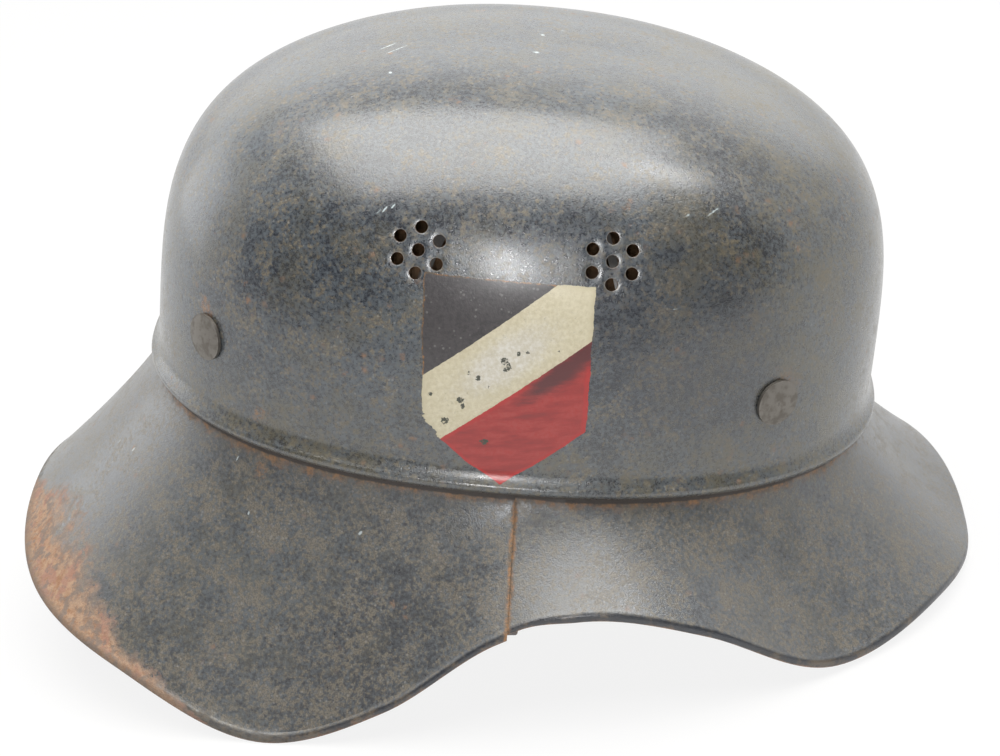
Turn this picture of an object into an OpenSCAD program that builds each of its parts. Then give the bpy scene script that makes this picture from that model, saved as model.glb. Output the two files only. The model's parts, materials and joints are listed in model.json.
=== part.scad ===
// Civil defence helmet in pressed steel: a crown with a rolled bead, a visor and a
// neck guard lapped at the ears, and a leather liner on a sprung band with a chin strap.
// It stands on the edge of its brim. +X is the wearer's front and +Y the wearer's left.

/* [Crown] */
// Height of the crown above the underside of its bead
crown_h = 110.7; // [100:0.1:122]
// Half-length of the crown towards the front
crown_front = 116.4; // [108:0.1:126]
// Half-length of the crown towards the rear
crown_rear = 116.8; // [108:0.1:126]
// Half-width of the crown
crown_side = 93.1; // [86:0.1:102]
// Squareness of the crown seen from above, where 2 is an ellipse
crown_plan = 2.24; // [2:0.01:2.6]
// How upright the front wall stands
wall_front = 5.1; // [3:0.1:6]
// How upright the rear wall stands
wall_rear = 4.6; // [3:0.1:6]
// How upright the side walls stand
wall_side = 3; // [2.4:0.1:5]
// How flat the top is towards the front, where 2 is round
top_front = 1.9; // [1.6:0.1:3]
// How flat the top is towards the rear
top_rear = 2; // [1.6:0.1:3]
// How flat the top is towards the sides
top_side = 3.5; // [2:0.1:4]
// Thickness of the pressed steel sheet
sheet_t = 1.1; // [0.8:0.05:1.4]

/* [Bead] */
// Height of the rolled bead round the foot of the crown
bead_h = 4.4; // [3:0.1:6]
// How far the bead stands out from the wall
bead_out = 2.4; // [1.8:0.1:3.5]
// Height of the hollow flare above the bead
bead_flare = 4.2; // [2:0.1:8]

/* [Vents] */
// Diameter of one vent hole
vent_d = 3.8; // [2:0.1:5]
// Radius of the ring of six holes round the middle one
vent_ring_r = 6.8; // [6:0.1:9]
// Angle of the front vents from straight ahead
vent_front_a = 72.8; // [60:0.1:80]
// Height of the front vents above the underside of the bead
vent_front_z = 74; // [60:0.1:80]
// Angle of the rear vents from straight ahead
vent_rear_a = 110.7; // [100:0.1:125]
// Height of the rear vents above the underside of the bead
vent_rear_z = 72.5; // [60:0.1:80]

/* [Brim] */
// How far the visor reaches beyond the crown's front wall
visor_reach = 39.6; // [25:0.1:50]
// How far the neck guard reaches beyond the crown's rear wall
nape_reach = 42.2; // [25:0.1:50]
// How far the brim reaches beyond the side walls
ear_reach = 24.9; // [15:0.1:35]
// Squareness of the visor seen from above
visor_plan = 2.3; // [2:0.05:3]
// Squareness of the neck guard seen from above
nape_plan = 2.55; // [2:0.05:3]
// Hollowness of the flare at the front, where 1 is a straight slope
flare_front = 1.6; // [1:0.05:2]
// Hollowness of the flare at the rear
flare_rear = 1.25; // [1:0.05:2]
// Hollowness of the flare at the sides
flare_side = 1.4; // [1:0.05:2]
// Height of the brim's flange inside the crown
flange_h = 12; // [6:0.5:15]
// Height of the turned-down hem along the edge
hem_h = 3.6; // [3.4:0.1:5]
// Radius of the bend into the hem
hem_r = 2.6; // [2.5:0.1:3.2]
// Angle at which the neck guard's front edge crosses the ear
seam_a = 88; // [86:1:89]
// How far the visor runs on under the neck guard, in degrees
lap_a = 7; // [4:1:10]
// How long before the seam the visor begins to step in, in degrees
joggle_before_a = 10; // [8:1:14]
// Over how many degrees the visor steps in
joggle_a = 8; // [5:1:8]

/* [Edge line] */
// Drop of the edge below the bead at the middle of the visor
drop_front = 45; // [35:0.5:55]
// Drop at the brow, 22 degrees round
drop_brow = 42; // [35:0.5:55]
// Drop at the temple, 42 degrees round, the visor's lowest corner
drop_temple = 50.5; // [44:0.5:60]
// Drop at the cheek, 60 degrees round
drop_cheek = 33.5; // [28:0.5:45]
// Drop at the top of the ear arch, 76 degrees round
drop_ear = 28; // [22:0.5:40]
// Drop at the side seam, 90 degrees round
drop_seam = 39; // [30:0.5:50]
// Drop behind the ear, 105 degrees round
drop_behind = 66; // [55:0.5:75]
// Drop at the neck guard's lowest corner, 122 degrees round
drop_lobe = 83.5; // [75:0.5:92]
// Drop at the rear quarter, 142 degrees round
drop_quarter = 72.5; // [65:0.5:80]
// Drop beside the nape, 160 degrees round
drop_nape_side = 67.5; // [60:0.5:76]
// Drop at the middle of the nape
drop_nape = 61.5; // [55:0.5:72]

/* [Liner rivets] */
// Angle of the front liner rivets from straight ahead
rivet_front_a = 42.3; // [35:0.1:50]
// Angle of the rear liner rivets from straight ahead
rivet_rear_a = 147.9; // [140:0.1:155]
// Height of the rivets above the underside of the bead
rivet_z = 28; // [26:0.1:32]
// Diameter of the large head
rivet_head_d = 14.6; // [10:0.1:18]
// Thickness of the head at its rim
rivet_rim_h = 1; // [0.6:0.1:1.4]
// Rise of the low dome over the rim
rivet_head_h = 0.7; // [0.4:0.1:1.6]
// Diameter of the split shank
rivet_d = 3.8; // [3:0.1:5]
// Length of each bent prong
prong_l = 9; // [6:0.5:12]
// Thickness of one prong
prong_t = 1.1; // [0.8:0.1:1.6]
// Diameter of the washer under the prongs
washer_d = 13; // [10:0.5:16]
// Thickness of the washer
washer_t = 0.8; // [0.5:0.1:1.2]

/* [Liner band and springs] */
// Space between the crown and the liner band
liner_gap = 9.5; // [7:0.1:12]
// Height of the liner band
band_h = 22; // [18:0.5:26]
// Thickness of the liner band
band_t = 0.8; // [0.5:0.1:1.2]
// Height of a leaf spring
spring_h = 14; // [10:0.5:18]
// Thickness of a leaf spring
spring_t = 0.8; // [0.5:0.1:1.1]
// Distance from a spring's rivet to the heel of each foot
spring_foot = 15; // [12:0.5:18]
// Length of the foot beyond its heel
spring_toe = 5; // [3:0.5:7]

/* [Liner leather] */
// Thickness of the leather
leather_t = 1.5; // [1:0.1:2]
// Rise of the fingers above the band
finger_rise = 46; // [35:0.5:55]
// Number of fingers
fingers = 8; // [6:1:10]
// Radius of the opening between the finger tips
crown_hole_r = 24; // [18:0.5:32]
// Width of the slit at the root of two fingers
slit_w = 3; // [2:0.1:5]
// Distance from the band to the root of a slit
slit_in = 8; // [5:0.5:14]
// Diameter of the lace hole in each finger
lace_d = 4; // [3:0.1:5]
// Distance of the lace holes from the finger tips
lace_in = 8; // [6:0.5:12]
// Shank diameter of the small rivets through band and leather
small_rivet_d = 2.4; // [1.8:0.1:3]
// Head diameter of the small rivets
small_head_d = 5; // [4:0.1:6]
// Head height of the small rivets
small_head_h = 0.9; // [0.6:0.1:1.4]

/* [Bails] */
// Width of the bracket that carries a bail
bracket_w = 18; // [14:0.5:20]
// Thickness of the bracket
bracket_t = 1; // [0.8:0.1:1.4]
// Height of the bracket's plate above its eye
bracket_h = 17; // [14:0.5:20]
// Diameter of the bail's wire
wire_d = 3; // [2.4:0.1:3.4]
// Width of the bail between the middles of its sides
bail_w = 30; // [28:0.5:36]
// Height of the bail between the middles of its bars
bail_h = 15; // [13:0.5:18]
// Radius of the bail's corners
bail_corner_r = 4; // [3:0.5:5]

/* [Chin strap] */
// Width of the strap
strap_w = 16; // [12:0.5:18]
// Thickness of the strap leather
strap_t = 2; // [1.4:0.1:2.4]
// Length sewn double below each bail
strap_fold = 17; // [14:0.5:20]
// How far a strap leans in below its fold, in degrees
strap_lean = 12; // [8:1:14]
// Radius of the bend where a strap meets the table
strap_bend_r = 20; // [18:0.5:22]
// Length of the long strap that lies on the table
long_lie = 26; // [22:0.5:28]
// Radius of the long strap's curl
curl_r = 12; // [11:0.5:14]
// Length of the long strap after its curl
long_tail = 42; // [36:1:43]
// Length of the short strap that lies on the table
short_lie = 27; // [27:0.5:30]
// Number of adjusting holes
strap_holes = 3; // [2:1:3]
// Distance between two adjusting holes
strap_hole_gap = 9; // [7:0.5:10]
// Diameter of an adjusting hole
strap_hole_d = 3; // [2:0.1:3.6]
// Diameter of the stud that closes a strap's fold
stud_d = 8; // [6:0.5:10]

/* [Buckle] */
// Diameter of the buckle's wire
buckle_wire_d = 2.6; // [2:0.1:3]
// Distance between the middles of the buckle's two bars
buckle_l = 16; // [14:0.5:20]
// Clear width inside the buckle
buckle_w = 19; // [18:0.5:22]
// Outer diameter of the roller
roller_d = 4.6; // [4:0.1:5.4]
// Diameter of the prong
pin_d = 2; // [1.6:0.1:2.4]
// Width of the keeper loop along the strap
keeper_w = 7; // [5:0.5:8]
// Thickness of the keeper loop
keeper_t = 1.2; // [1:0.1:1.6]

/* [Clearances] */
// Gap between two pressed sheets that lie on each other
seat_gap = 0.15; // [0.12:0.01:0.25]
// Radial clearance round a wire in its eye
wire_gap = 0.2; // [0.1:0.05:0.3]
// Clearance of a shank in its hole
hole_gap = 0.2; // [0.1:0.05:0.3]
// Height of a lying strap over the table
lie_gap = 0.25; // [0.1:0.05:0.5]

/* [Hidden] */

$fn = 48;
eps = 0.01;
step_a = 5;
turn = [0:step_a:360 - step_a];
steel = [0.29, 0.32, 0.35];
bare_steel = [0.45, 0.41, 0.37];
zinc = [0.55, 0.56, 0.56];
leather = [0.42, 0.27, 0.16];

// Shared formulas

// Value f at the front, r at the rear and s at the sides, changing smoothly with the angle
function blend(a, f, r, s) = let (w = pow(sin(a), 2)) (cos(a) > 0 ? f : r)*(1 - w) + s*w;

// Radius at angle a of an oval with half-lengths f and r and half-width s
function oval(a, f, r, s, power) =
    pow(pow(abs(cos(a))/(cos(a) > 0 ? f : r), power) + pow(abs(sin(a))/s, power), -1/power);

// Direction of an oval's outward normal at angle a
function oval_normal(a, f, r, s, power) =
    let (l = cos(a) > 0 ? f : r)
    atan2(sign(sin(a))*pow(abs(sin(a)), power - 1)/pow(s, power),
          sign(cos(a))*pow(abs(cos(a)), power - 1)/pow(l, power));

function unit(v) = v/norm(v);
function polar(r, a, z) = [r*cos(a), r*sin(a), z];
function smooth(t) = let (u = min(max(t, 0), 1)) u*u*(3 - 2*u);

// The crown, inset by d: its radius at angle a and height z
function crown_r(a, z, d = 0) =
    oval(a, crown_front - d, crown_rear - d, crown_side - d, crown_plan)
    *pow(1 - pow(max(z, 0)/(crown_h - d), blend(a, wall_front, wall_rear, wall_side)),
         1/blend(a, top_front, top_rear, top_side));
function crown_point(a, z) = polar(crown_r(a, z), a, z);
function crown_normal(a, z) =
    unit(cross(crown_point(a + 0.1, z) - crown_point(a - 0.1, z),
               crown_point(a, z + 0.1) - crown_point(a, z - 0.1)));

// Heights of the crown's rings from z0 up, crowding towards the top
function crown_levels(z0, top, count) =
    [for (i = [0:count]) let (t = i < count ? i/count : 1 - 0.4/count) z0 + (top - z0)*(1 - pow(1 - t, 2.2))];

// Edge line of the brim: a smooth curve through the named drops
drop_a = [0, 22, 42, 60, 76, 90, 105, 122, 142, 160, 180];
drop_z = [drop_front, drop_brow, drop_temple, drop_cheek, drop_ear, drop_seam,
    drop_behind, drop_lobe, drop_quarter, drop_nape_side, drop_nape];
drop_slope = [for (i = [0:len(drop_a) - 1])
    i == 0 || i == len(drop_a) - 1 ? 0 : (drop_z[i + 1] - drop_z[i - 1])/(drop_a[i + 1] - drop_a[i - 1])];
function fold_angle(a) = let (b = abs(a) % 360) b > 180 ? 360 - b : b;
function drop(a) =
    let (b = fold_angle(a),
         i = max([for (k = [0:len(drop_a) - 2]) if (drop_a[k] <= b) k]),
         w = drop_a[i + 1] - drop_a[i],
         t = (b - drop_a[i])/w)
    (1 + 2*t)*pow(1 - t, 2)*drop_z[i] + t*pow(1 - t, 2)*w*drop_slope[i]
    + t*t*(3 - 2*t)*drop_z[i + 1] + t*t*(t - 1)*w*drop_slope[i + 1];

// Plan of the brim's edge
function edge_r(a) = oval(a, crown_front + visor_reach, crown_rear + nape_reach,
    crown_side + ear_reach, cos(a) > 0 ? visor_plan : nape_plan);

// The brim in section at angle a, as [radius, height] from the flange down to the hem's foot
flange_in = sheet_t + seat_gap;
hem_angles = [25, 55, 90];
function brim_line(a, count = 8) =
    let (neck = crown_r(a, 0, flange_in),
         reach = edge_r(a),
         fall = drop(a),
         k = blend(a, flare_front, flare_rear, flare_side),
         hem = [for (u = hem_angles) [reach - hem_r*(1 - sin(u)), -fall + hem_h - hem_r*(1 - cos(u))]])
    concat([[neck, flange_h]],
        [for (i = [0:count - 1]) let (s = i/count) [neck + (hem[0][0] - neck)*pow(s, k), hem[0][1]*s]],
        hem, [[reach, -fall]]);

// Moves a line inwards by d, and closes a wall between the depths d0 and d1 of a line
function line_normal(p, i) =
    let (d = unit(p[min(i + 1, len(p) - 1)] - p[max(i - 1, 0)])) [-d[1], d[0]];
function inset(p, d) = [for (i = [0:len(p) - 1]) p[i] - d*line_normal(p, i)];
function reversed(p) = [for (i = [len(p) - 1:-1:0]) p[i]];
function wall(p, d0, d1) = concat(inset(p, d0), reversed(inset(p, d1)));

// Skins a list of rings of equal length, closed on itself or with an end wall across each last ring.
// The second half of each ring is split the other way, so that both walls of a sheet have the same facets.
module skin(rings, closed = false) {
    n = len(rings[0]);
    m = len(rings);
    function split(p, q, r, s, first) = first ? [[p, q, r], [p, r, s]] : [[p, q, s], [q, r, s]];
    sides = [for (i = [0:m - (closed ? 1 : 2)], j = [0:n - 1])
        let (k = (j + 1) % n, i2 = (i + 1) % m)
        each split(i*n + j, i2*n + j, i2*n + k, i*n + k, j < n/2)];
    function end_wall(at) = [for (j = [0:n/2 - 2])
        each [[at + j, at + j + 1, at + n - 2 - j], [at + j, at + n - 2 - j, at + n - 1 - j]]];
    ends = closed ? [] : concat(end_wall(0), [for (f = end_wall((m - 1)*n)) reversed(f)]);
    polyhedron([for (r = rings) each r], concat(sides, ends));
}

// How the helmet stands: the line under its lowest points, seen from the side
foot_points = [for (a = [0:step_a:180]) [(edge_r(a) - (cos(a) < 0 ? sheet_t : 0))*cos(a), -drop(a)]];
function line_at(p, q, x) = p[1] + (q[1] - p[1])*(x - p[0])/(q[0] - p[0]);
supports = [for (f = foot_points, r = foot_points) if (f[0] > 1 && r[0] < -1) [line_at(f, r, 0), f, r]];
table_z = min([for (s = supports) s[0]]);
feet = [for (s = supports) if (s[0] == table_z) s][0];
pitch = atan((feet[1][1] - feet[2][1])/(feet[1][0] - feet[2][0]));
function stood(p) = [p[0]*cos(pitch) + p[1]*sin(pitch), p[1]*cos(pitch) - p[0]*sin(pitch)];
hem_x = [for (a = [0, 180], h = [0, hem_h - hem_r]) stood([edge_r(a)*cos(a), h - drop(a)])[0]];
shift = [-(max(hem_x) + min(hem_x))/2, 0, -min([for (p = foot_points) stood(p)[1]])];

module stand() translate(shift) rotate([0, pitch, 0]) children();
module side(s) mirror([0, s < 0 ? 1 : 0, 0]) children();

// Shell

bead_r = bead_h/2;
bead_top = bead_h + bead_flare;
bead_turn = [for (u = [45, 15, -15, -50, -90]) u];
function bead_section() =
    let (mid = bead_out - bead_r, start = [mid + bead_r*cos(bead_turn[0]), bead_r*(1 + sin(bead_turn[0]))])
    concat([for (t = [0, 0.45, 0.8]) [start[0]*t*t, bead_top - (bead_top - start[1])*t]],
        [for (u = bead_turn) [mid + bead_r*cos(u), bead_r*(1 + sin(u))]],
        [[-sheet_t*0.7, 0], [-sheet_t, bead_r*0.3]]);

function ring_at(z, d) = [for (a = turn) polar(crown_r(a, z, d), a, z)];
function bead_ring(p) = [for (a = turn) polar(crown_r(a, 0) + p[0], a, p[1])];

// Puts children on the crown's outer face, with Z along its outward normal and Y upwards
module on_crown(a, z) {
    n = crown_normal(a, z);
    x = unit(cross([0, 0, 1], n));
    y = cross(n, x);
    p = crown_point(a, z);
    multmatrix([[x[0], y[0], n[0], p[0]], [x[1], y[1], n[1], p[1]], [x[2], y[2], n[2], p[2]], [0, 0, 0, 1]])
        children();
}

module vent() {
    depth = 4*sheet_t;
    for (h = [0:6])
        rotate(90 + 60*h) translate([h == 6 ? 0 : vent_ring_r, 0, -depth])
            cylinder(d = vent_d, h = 2*depth, $fn = 24);
}

// Puts children on the crown's wall at rivet height, with X pointing straight out
module on_wall(a)
    translate(polar(crown_r(a, rivet_z), a, rivet_z))
        rotate(oval_normal(a, crown_front, crown_rear, crown_side, crown_plan)) children();

module bore_x(d, x0, x1, sides = 24)
    translate([x0, 0, 0]) rotate([0, 90, 0]) cylinder(d = d, h = x1 - x0, $fn = sides);

module crown() {
    outer = crown_levels(bead_top, crown_h, 14);
    inner = crown_levels(flange_h, crown_h - sheet_t, 12);
    rings = concat(
        [for (z = reversed(inner)) ring_at(z, sheet_t)],
        [for (p = reversed(bead_section())) bead_ring(p)],
        [for (z = [for (i = [1:len(outer) - 1]) outer[i]]) ring_at(z, 0)]);
    color(steel) stand() difference() {
        skin(rings);
        for (s = [-1, 1]) {
            on_crown(s*vent_front_a, vent_front_z) vent();
            on_crown(s*vent_rear_a, vent_rear_z) vent();
            for (a = [rivet_front_a, rivet_rear_a])
                on_wall(s*a) bore_x(rivet_d + hole_gap, -3*sheet_t, 2*sheet_t);
        }
    }
}

function section_ring(a, p) = [for (q = p) polar(q[0], a, q[1])];

// The visor steps in under the neck guard near the seam
function joggle(a) = (sheet_t + seat_gap)*smooth((fold_angle(a) - (seam_a - joggle_before_a))/joggle_a);

// Angles from mark to mark in even steps, so that two pieces that lap share the same stations
lap_end = seam_a + lap_a;
function stations(marks) = concat(
    [for (i = [0:len(marks) - 2]) each concat([marks[i]],
        [for (a = [-180:step_a:360]) if (a > marks[i] + 0.5 && a < marks[i + 1] - 0.5) a])],
    [marks[len(marks) - 1]]);

module visor() {
    color(steel) stand()
        skin([for (a = stations([-lap_end, -seam_a, seam_a, lap_end]))
            section_ring(a, wall(brim_line(a), joggle(a), joggle(a) + sheet_t))]);
}

module neck_guard() {
    color(steel) stand()
        skin([for (a = stations([seam_a, lap_end, 360 - lap_end, 360 - seam_a]))
            section_ring(a, wall(brim_line(a), 0, sheet_t))]);
}

// Liner

band_in = sheet_t + liner_gap;
band_z0 = rivet_z - band_h/2;
band_z1 = band_z0 + band_h;
function band_r(a, d = 0) = oval(a, crown_front - band_in - d, crown_rear - band_in - d,
    crown_side - band_in - d, crown_plan);
leather_in = band_t + seat_gap;

// Depth of an oval behind the crown's wall at angle a and v along it, found by halving
function wall_start(a, v) =
    let (n = oval_normal(a, crown_front, crown_rear, crown_side, crown_plan))
    [for (p = [polar(crown_r(a, rivet_z), a, 0)]) [p[0] - v*sin(n), p[1] + v*cos(n), n]][0];
function outside(p, d) = norm([p[0], p[1]]) > oval(atan2(p[1], p[0]),
    crown_front - d, crown_rear - d, crown_side - d, crown_plan);
function halve(p, d, lo, hi, count) =
    let (mid = (lo + hi)/2)
    count == 0 ? mid :
    outside([p[0] - mid*cos(p[2]), p[1] - mid*sin(p[2])], d) ? halve(p, d, mid, hi, count - 1)
                                                             : halve(p, d, lo, mid, count - 1);
function depth_at(a, v, d) = halve(wall_start(a, v), d, -liner_gap/2, 2.5*band_in, 22);

module liner_band() {
    color(zinc) stand() difference() {
        translate([0, 0, band_z0]) linear_extrude(band_h) difference() {
            polygon([for (a = turn) band_r(a)*[cos(a), sin(a)]]);
            polygon([for (a = turn) band_r(a, band_t)*[cos(a), sin(a)]]);
        }
        liner_holes();
    }
}

// Holes that the band and the leather share
module liner_holes() {
    for (s = [-1, 1]) {
        for (a = [rivet_front_a, rivet_rear_a])
            on_wall(s*a) bore_x(rivet_d + hole_gap, -band_in - 12, -liner_gap/2);
        for (x = bracket_rivet_x)
            side(s) translate([x, band_side, bracket_rivet_z]) rotate(90)
                bore_x(small_rivet_d + hole_gap, -8, 4);
    }
    for (a = leather_rivet_a)
        on_band(a) bore_x(small_rivet_d + hole_gap, -8, 4);
}

// Puts children on the band's outer face near its foot, with X pointing straight out
leather_rivet_a = [-162, -114, -66, -18, 18, 66, 114, 162];
leather_rivet_z = band_z0 + small_head_d;
module on_band(a)
    translate(polar(band_r(a), a, leather_rivet_z))
        rotate(oval_normal(a, crown_front - band_in, crown_rear - band_in, crown_side - band_in, crown_plan))
            children();

// The leather in section: a skirt inside the band, then a dome of fingers
finger_bend = 74;
function leather_line(a) =
    let (r = band_r(a, leather_in))
    concat([[r, band_z0 - 1], [r, rivet_z]],
        [for (i = [0:6]) let (w = finger_bend*i/6)
            [crown_hole_r*(1 - cos(w))/(1 - cos(finger_bend)) + r*(cos(w) - cos(finger_bend))/(1 - cos(finger_bend)),
             band_z1 + finger_rise*sin(w)/sin(finger_bend)]]);

module slit(a) {
    root = band_r(a) - slit_in;
    tip = crown_hole_r;
    tip_w = 2*PI*tip/fingers*0.35;
    rotate(a) translate([0, 0, band_z1]) linear_extrude(2*finger_rise) {
        polygon([[0, -tip_w/2], [tip, -tip_w/2], [root, -slit_w/2], [root, slit_w/2], [tip, tip_w/2], [0, tip_w/2]]);
        translate([root, 0]) circle(d = slit_w, $fn = 24);
        translate([tip - 1, 0]) circle(d = 2*tip_w, $fn = 24);
    }
}

module liner_leather() {
    color(leather) stand() difference() {
        skin([for (a = turn) section_ring(a, wall(reversed(leather_line(a)), 0, leather_t))], closed = true);
        liner_holes();
        for (i = [0:fingers - 1]) {
            slit(360/fingers*(i + 0.5));
            rotate(360/fingers*i) translate([crown_hole_r + lace_in, 0, band_z1])
                cylinder(d = lace_d, h = 2*finger_rise, $fn = 24);
        }
    }
}

// Small rivet along X from a face at x = 0 down to a face at x = -grip
module small_rivet(grip) {
    bore_x(small_rivet_d, -grip - eps, eps);
    rotate([0, 90, 0]) dome(small_head_d, small_head_h);
    translate([-grip, 0, 0]) rotate([0, -90, 0]) dome(small_head_d, small_head_h);
}

// Low dome of diameter d and rise h on the plane z = 0
module dome(d, h) {
    r = (d*d/4 + h*h)/(2*h);
    rotate_extrude() intersection() {
        translate([0, h - r]) circle(r = r, $fn = 96);
        square([d, h]);
    }
}

module leather_rivets() {
    color(bare_steel) stand()
        for (a = leather_rivet_a)
            on_band(a) translate([0.12, 0, 0]) small_rivet(band_t + seat_gap + leather_t + 0.45);
}

// Liner rivet: a disc head with a low dome, a shank and two prongs bent flat on the washer
clinch = [for (a = [rivet_front_a, rivet_rear_a])
    max([for (v = [-washer_d/2, 0, washer_d/2]) depth_at(a, v, band_in + leather_in + leather_t)]) + 0.15];

module rivet(i) {
    a = [rivet_front_a, rivet_rear_a][i];
    seat = clinch[i] + washer_t;
    color(bare_steel) stand() on_wall(a) {
        bore_x(rivet_head_d, 0.05, 0.05 + rivet_rim_h, 64);
        translate([0.05 + rivet_rim_h - eps, 0, 0]) rotate([0, 90, 0])
            dome(rivet_head_d - rivet_head_h, rivet_head_h + eps);
        bore_x(rivet_d, -seat - prong_t, 0.06);
        for (s = [-1, 1])
            translate([-seat - prong_t, min(0, s*prong_l), -rivet_d*0.4])
                cube([prong_t, prong_l, rivet_d*0.8]);
    }
}

module washer(i) {
    a = [rivet_front_a, rivet_rear_a][i];
    color(zinc) stand() on_wall(a) difference() {
        bore_x(washer_d, -clinch[i] - washer_t, -clinch[i]);
        bore_x(rivet_d + hole_gap, -clinch[i] - 2*washer_t, -clinch[i] + washer_t);
    }
}

// Leaf spring: a plate behind the crown's wall, bowed to a foot on the band at either side
module leaf_spring(i) {
    a = [rivet_front_a, rivet_rear_a][i];
    plate = rivet_d + 3;
    lean = crown_r(a, rivet_z) - crown_r(a, rivet_z + spring_h/2);
    back = max([for (v = [-plate, 0, plate]) depth_at(a, v, sheet_t)]) + lean + 0.45;
    function foot(v) = depth_at(a, v, band_in) - 0.25;
    line = [for (p = [[-spring_foot - spring_toe, foot(-spring_foot - spring_toe)],
                      [-spring_foot, foot(-spring_foot)], [-plate - 2, back + spring_t],
                      [-plate + 1, back + spring_t], [plate - 1, back + spring_t], [plate + 2, back + spring_t],
                      [spring_foot, foot(spring_foot)],
                      [spring_foot + spring_toe, foot(spring_foot + spring_toe)]]) [p[0], -p[1]]];
    color(zinc) stand() on_wall(a) difference() {
        rotate(90) translate([0, 0, -spring_h/2]) linear_extrude(spring_h)
            polygon([for (p = wall(reversed(line), 0, spring_t)) [p[0], -p[1]]]);
        bore_x(rivet_d + hole_gap, -band_in, 0);
    }
}

// Bails

band_side = crown_side - band_in;
bracket_face = band_side + seat_gap;
eye_r = wire_d/2 + wire_gap + bracket_t;
eye_y = bracket_face + bracket_t - eye_r;
eye_z = band_z0 - 1 - eye_r - 0.6;
bracket_rivet_x = [-bracket_w/3, bracket_w/3];
bracket_rivet_z = eye_z + bracket_h - 4;
bar_z = eye_z - bail_h;

module along_x(d, l) rotate([0, 90, 0]) cylinder(d = d, h = l, center = true);

module bracket(s) {
    color(zinc) stand() side(s) difference() {
        union() {
            translate([-bracket_w/2, bracket_face, eye_z]) cube([bracket_w, bracket_t, bracket_h]);
            translate([0, eye_y, eye_z]) along_x(2*eye_r, bracket_w);
        }
        translate([0, eye_y, eye_z]) along_x(wire_d + 2*wire_gap, 2*bracket_w);
        for (x = bracket_rivet_x)
            translate([x, bracket_face, bracket_rivet_z]) rotate(90) bore_x(small_rivet_d + hole_gap, -4, 4);
    }
}

module bracket_rivets() {
    color(bare_steel) stand() for (s = [-1, 1], x = bracket_rivet_x)
        side(s) translate([x, bracket_face + bracket_t + 0.05, bracket_rivet_z]) rotate(90)
            small_rivet(bracket_t + seat_gap + band_t + seat_gap + leather_t + 0.6);
}

// Closed wire loop in the XZ plane, hung from the middle of its top bar
module wire_loop(w, h, d, r) {
    for (z = [0, -h]) translate([0, 0, z]) along_x(d, w - 2*r);
    for (x = [-1, 1]) {
        translate([x*w/2, 0, -h + r]) cylinder(d = d, h = h - 2*r);
        for (z = [0, 1])
            translate([x*(w/2 - r), 0, z == 0 ? -r : -h + r])
                rotate([90, 0, 0]) rotate(x > 0 ? (z == 0 ? 0 : 270) : (z == 0 ? 90 : 180))
                    rotate_extrude(angle = 90) translate([r, 0]) circle(d = d);
    }
}

module bail(s) {
    color(zinc) stand() side(s) translate([0, eye_y, eye_z]) wire_loop(bail_w, bail_h, wire_d, bail_corner_r);
}

// Chin strap

// The ribbon runs in steps of [length, heading], where -90 is down, 0 is inwards and 180 is back out.
// Past 0 it turns in the plane that stands square on the table.
table_up = [-sin(pitch), 0, cos(pitch)];
function heading(b) = [0, -cos(b), 0] + sin(b)*(b < 0 ? [0, 0, 1] : table_up);
function straight(l, b, count) = [for (i = [1:count]) [l/count, b]];
function bend(r, b0, b1, count) = [for (i = [0:count - 1])
    [2*r*sin(abs(b1 - b0)/count/2), b0 + (b1 - b0)*(i + 0.5)/count]];
function path_points(start, steps) =
    [for (i = 0, p = start; i <= len(steps); p = i < len(steps) ? p + steps[i][0]*heading(steps[i][1]) : p, i = i + 1) p];
function path_heading(steps, i) =
    i == 0 ? steps[0][1] : i == len(steps) ? steps[i - 1][1] : (steps[i - 1][1] + steps[i][1])/2;

// Ring of the ribbon at one point: eight corners, with its edges eased
function ribbon_ring(p, b, w, t) =
    let (lean = pitch*smooth((b + 90)/90),
         across = [cos(lean), 0, sin(lean)],
         up = unit(cross(heading(b), across)),
         e = 0.5)
    [for (c = [[1, 1 - e], [1 - e, 1], [e - 1, 1], [-1, 1 - e], [-1, e - 1], [e - 1, -1], [1 - e, -1], [1, e - 1]])
        p + across*sign(c[0])*(w/2 - (abs(c[0]) < 1 ? e : 0)) + up*sign(c[1])*(t/2 - (abs(c[1]) < 1 ? e : 0))];

module ribbon(start, steps, widths, thicks) {
    p = path_points(start, steps);
    skin([for (i = [0:len(p) - 1]) ribbon_ring(p[i], path_heading(steps, i), widths[i], thicks[i])]);
}

loop_bore = wire_d + 2*wire_gap;
loop_d = loop_bore + 2*strap_t;
strap_top = [0, eye_y, bar_z - loop_d/2 + 0.6];
// The steps down to the table, where the strap's middle comes to lie at height h
function hang_steps(h) =
    let (fall = strap_top[2] - table_z - h/cos(pitch) - strap_fold - 0.8 - strap_bend_r*(1 - sin(strap_lean)),
         lean = strap_lean - 90)
    concat(straight(strap_fold, -90, 2), [[0.8, -90]], straight(fall/cos(strap_lean), lean, 2),
        bend(strap_bend_r, lean, 0, 8));
keeper_room = 0.3;
long_h = lie_gap + strap_t/2;
short_h = long_h + keeper_t + keeper_room;
tip_steps = [5, 4, 3, 2];
long_steps = concat(hang_steps(long_h), straight(long_lie, 0, 2), bend(curl_r, 0, 180, 14),
    straight(long_tail - 14, 180, 2), [for (l = tip_steps) [l, 180]]);
short_fold = 13;
short_hang = hang_steps(short_h);
short_steps = concat(short_hang, straight(short_lie - short_fold, 0, 2), [[0.8, 0]],
    straight(short_fold - 0.8, 0, 1));

function cumulated(steps, i) = i == 0 ? 0 : steps[i - 1][0] + cumulated(steps, i - 1);
function tip_width(left) = left >= 14 ? strap_w : strap_w*(0.35 + 0.65*sqrt(1 - pow(1 - left/14, 2)));

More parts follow.
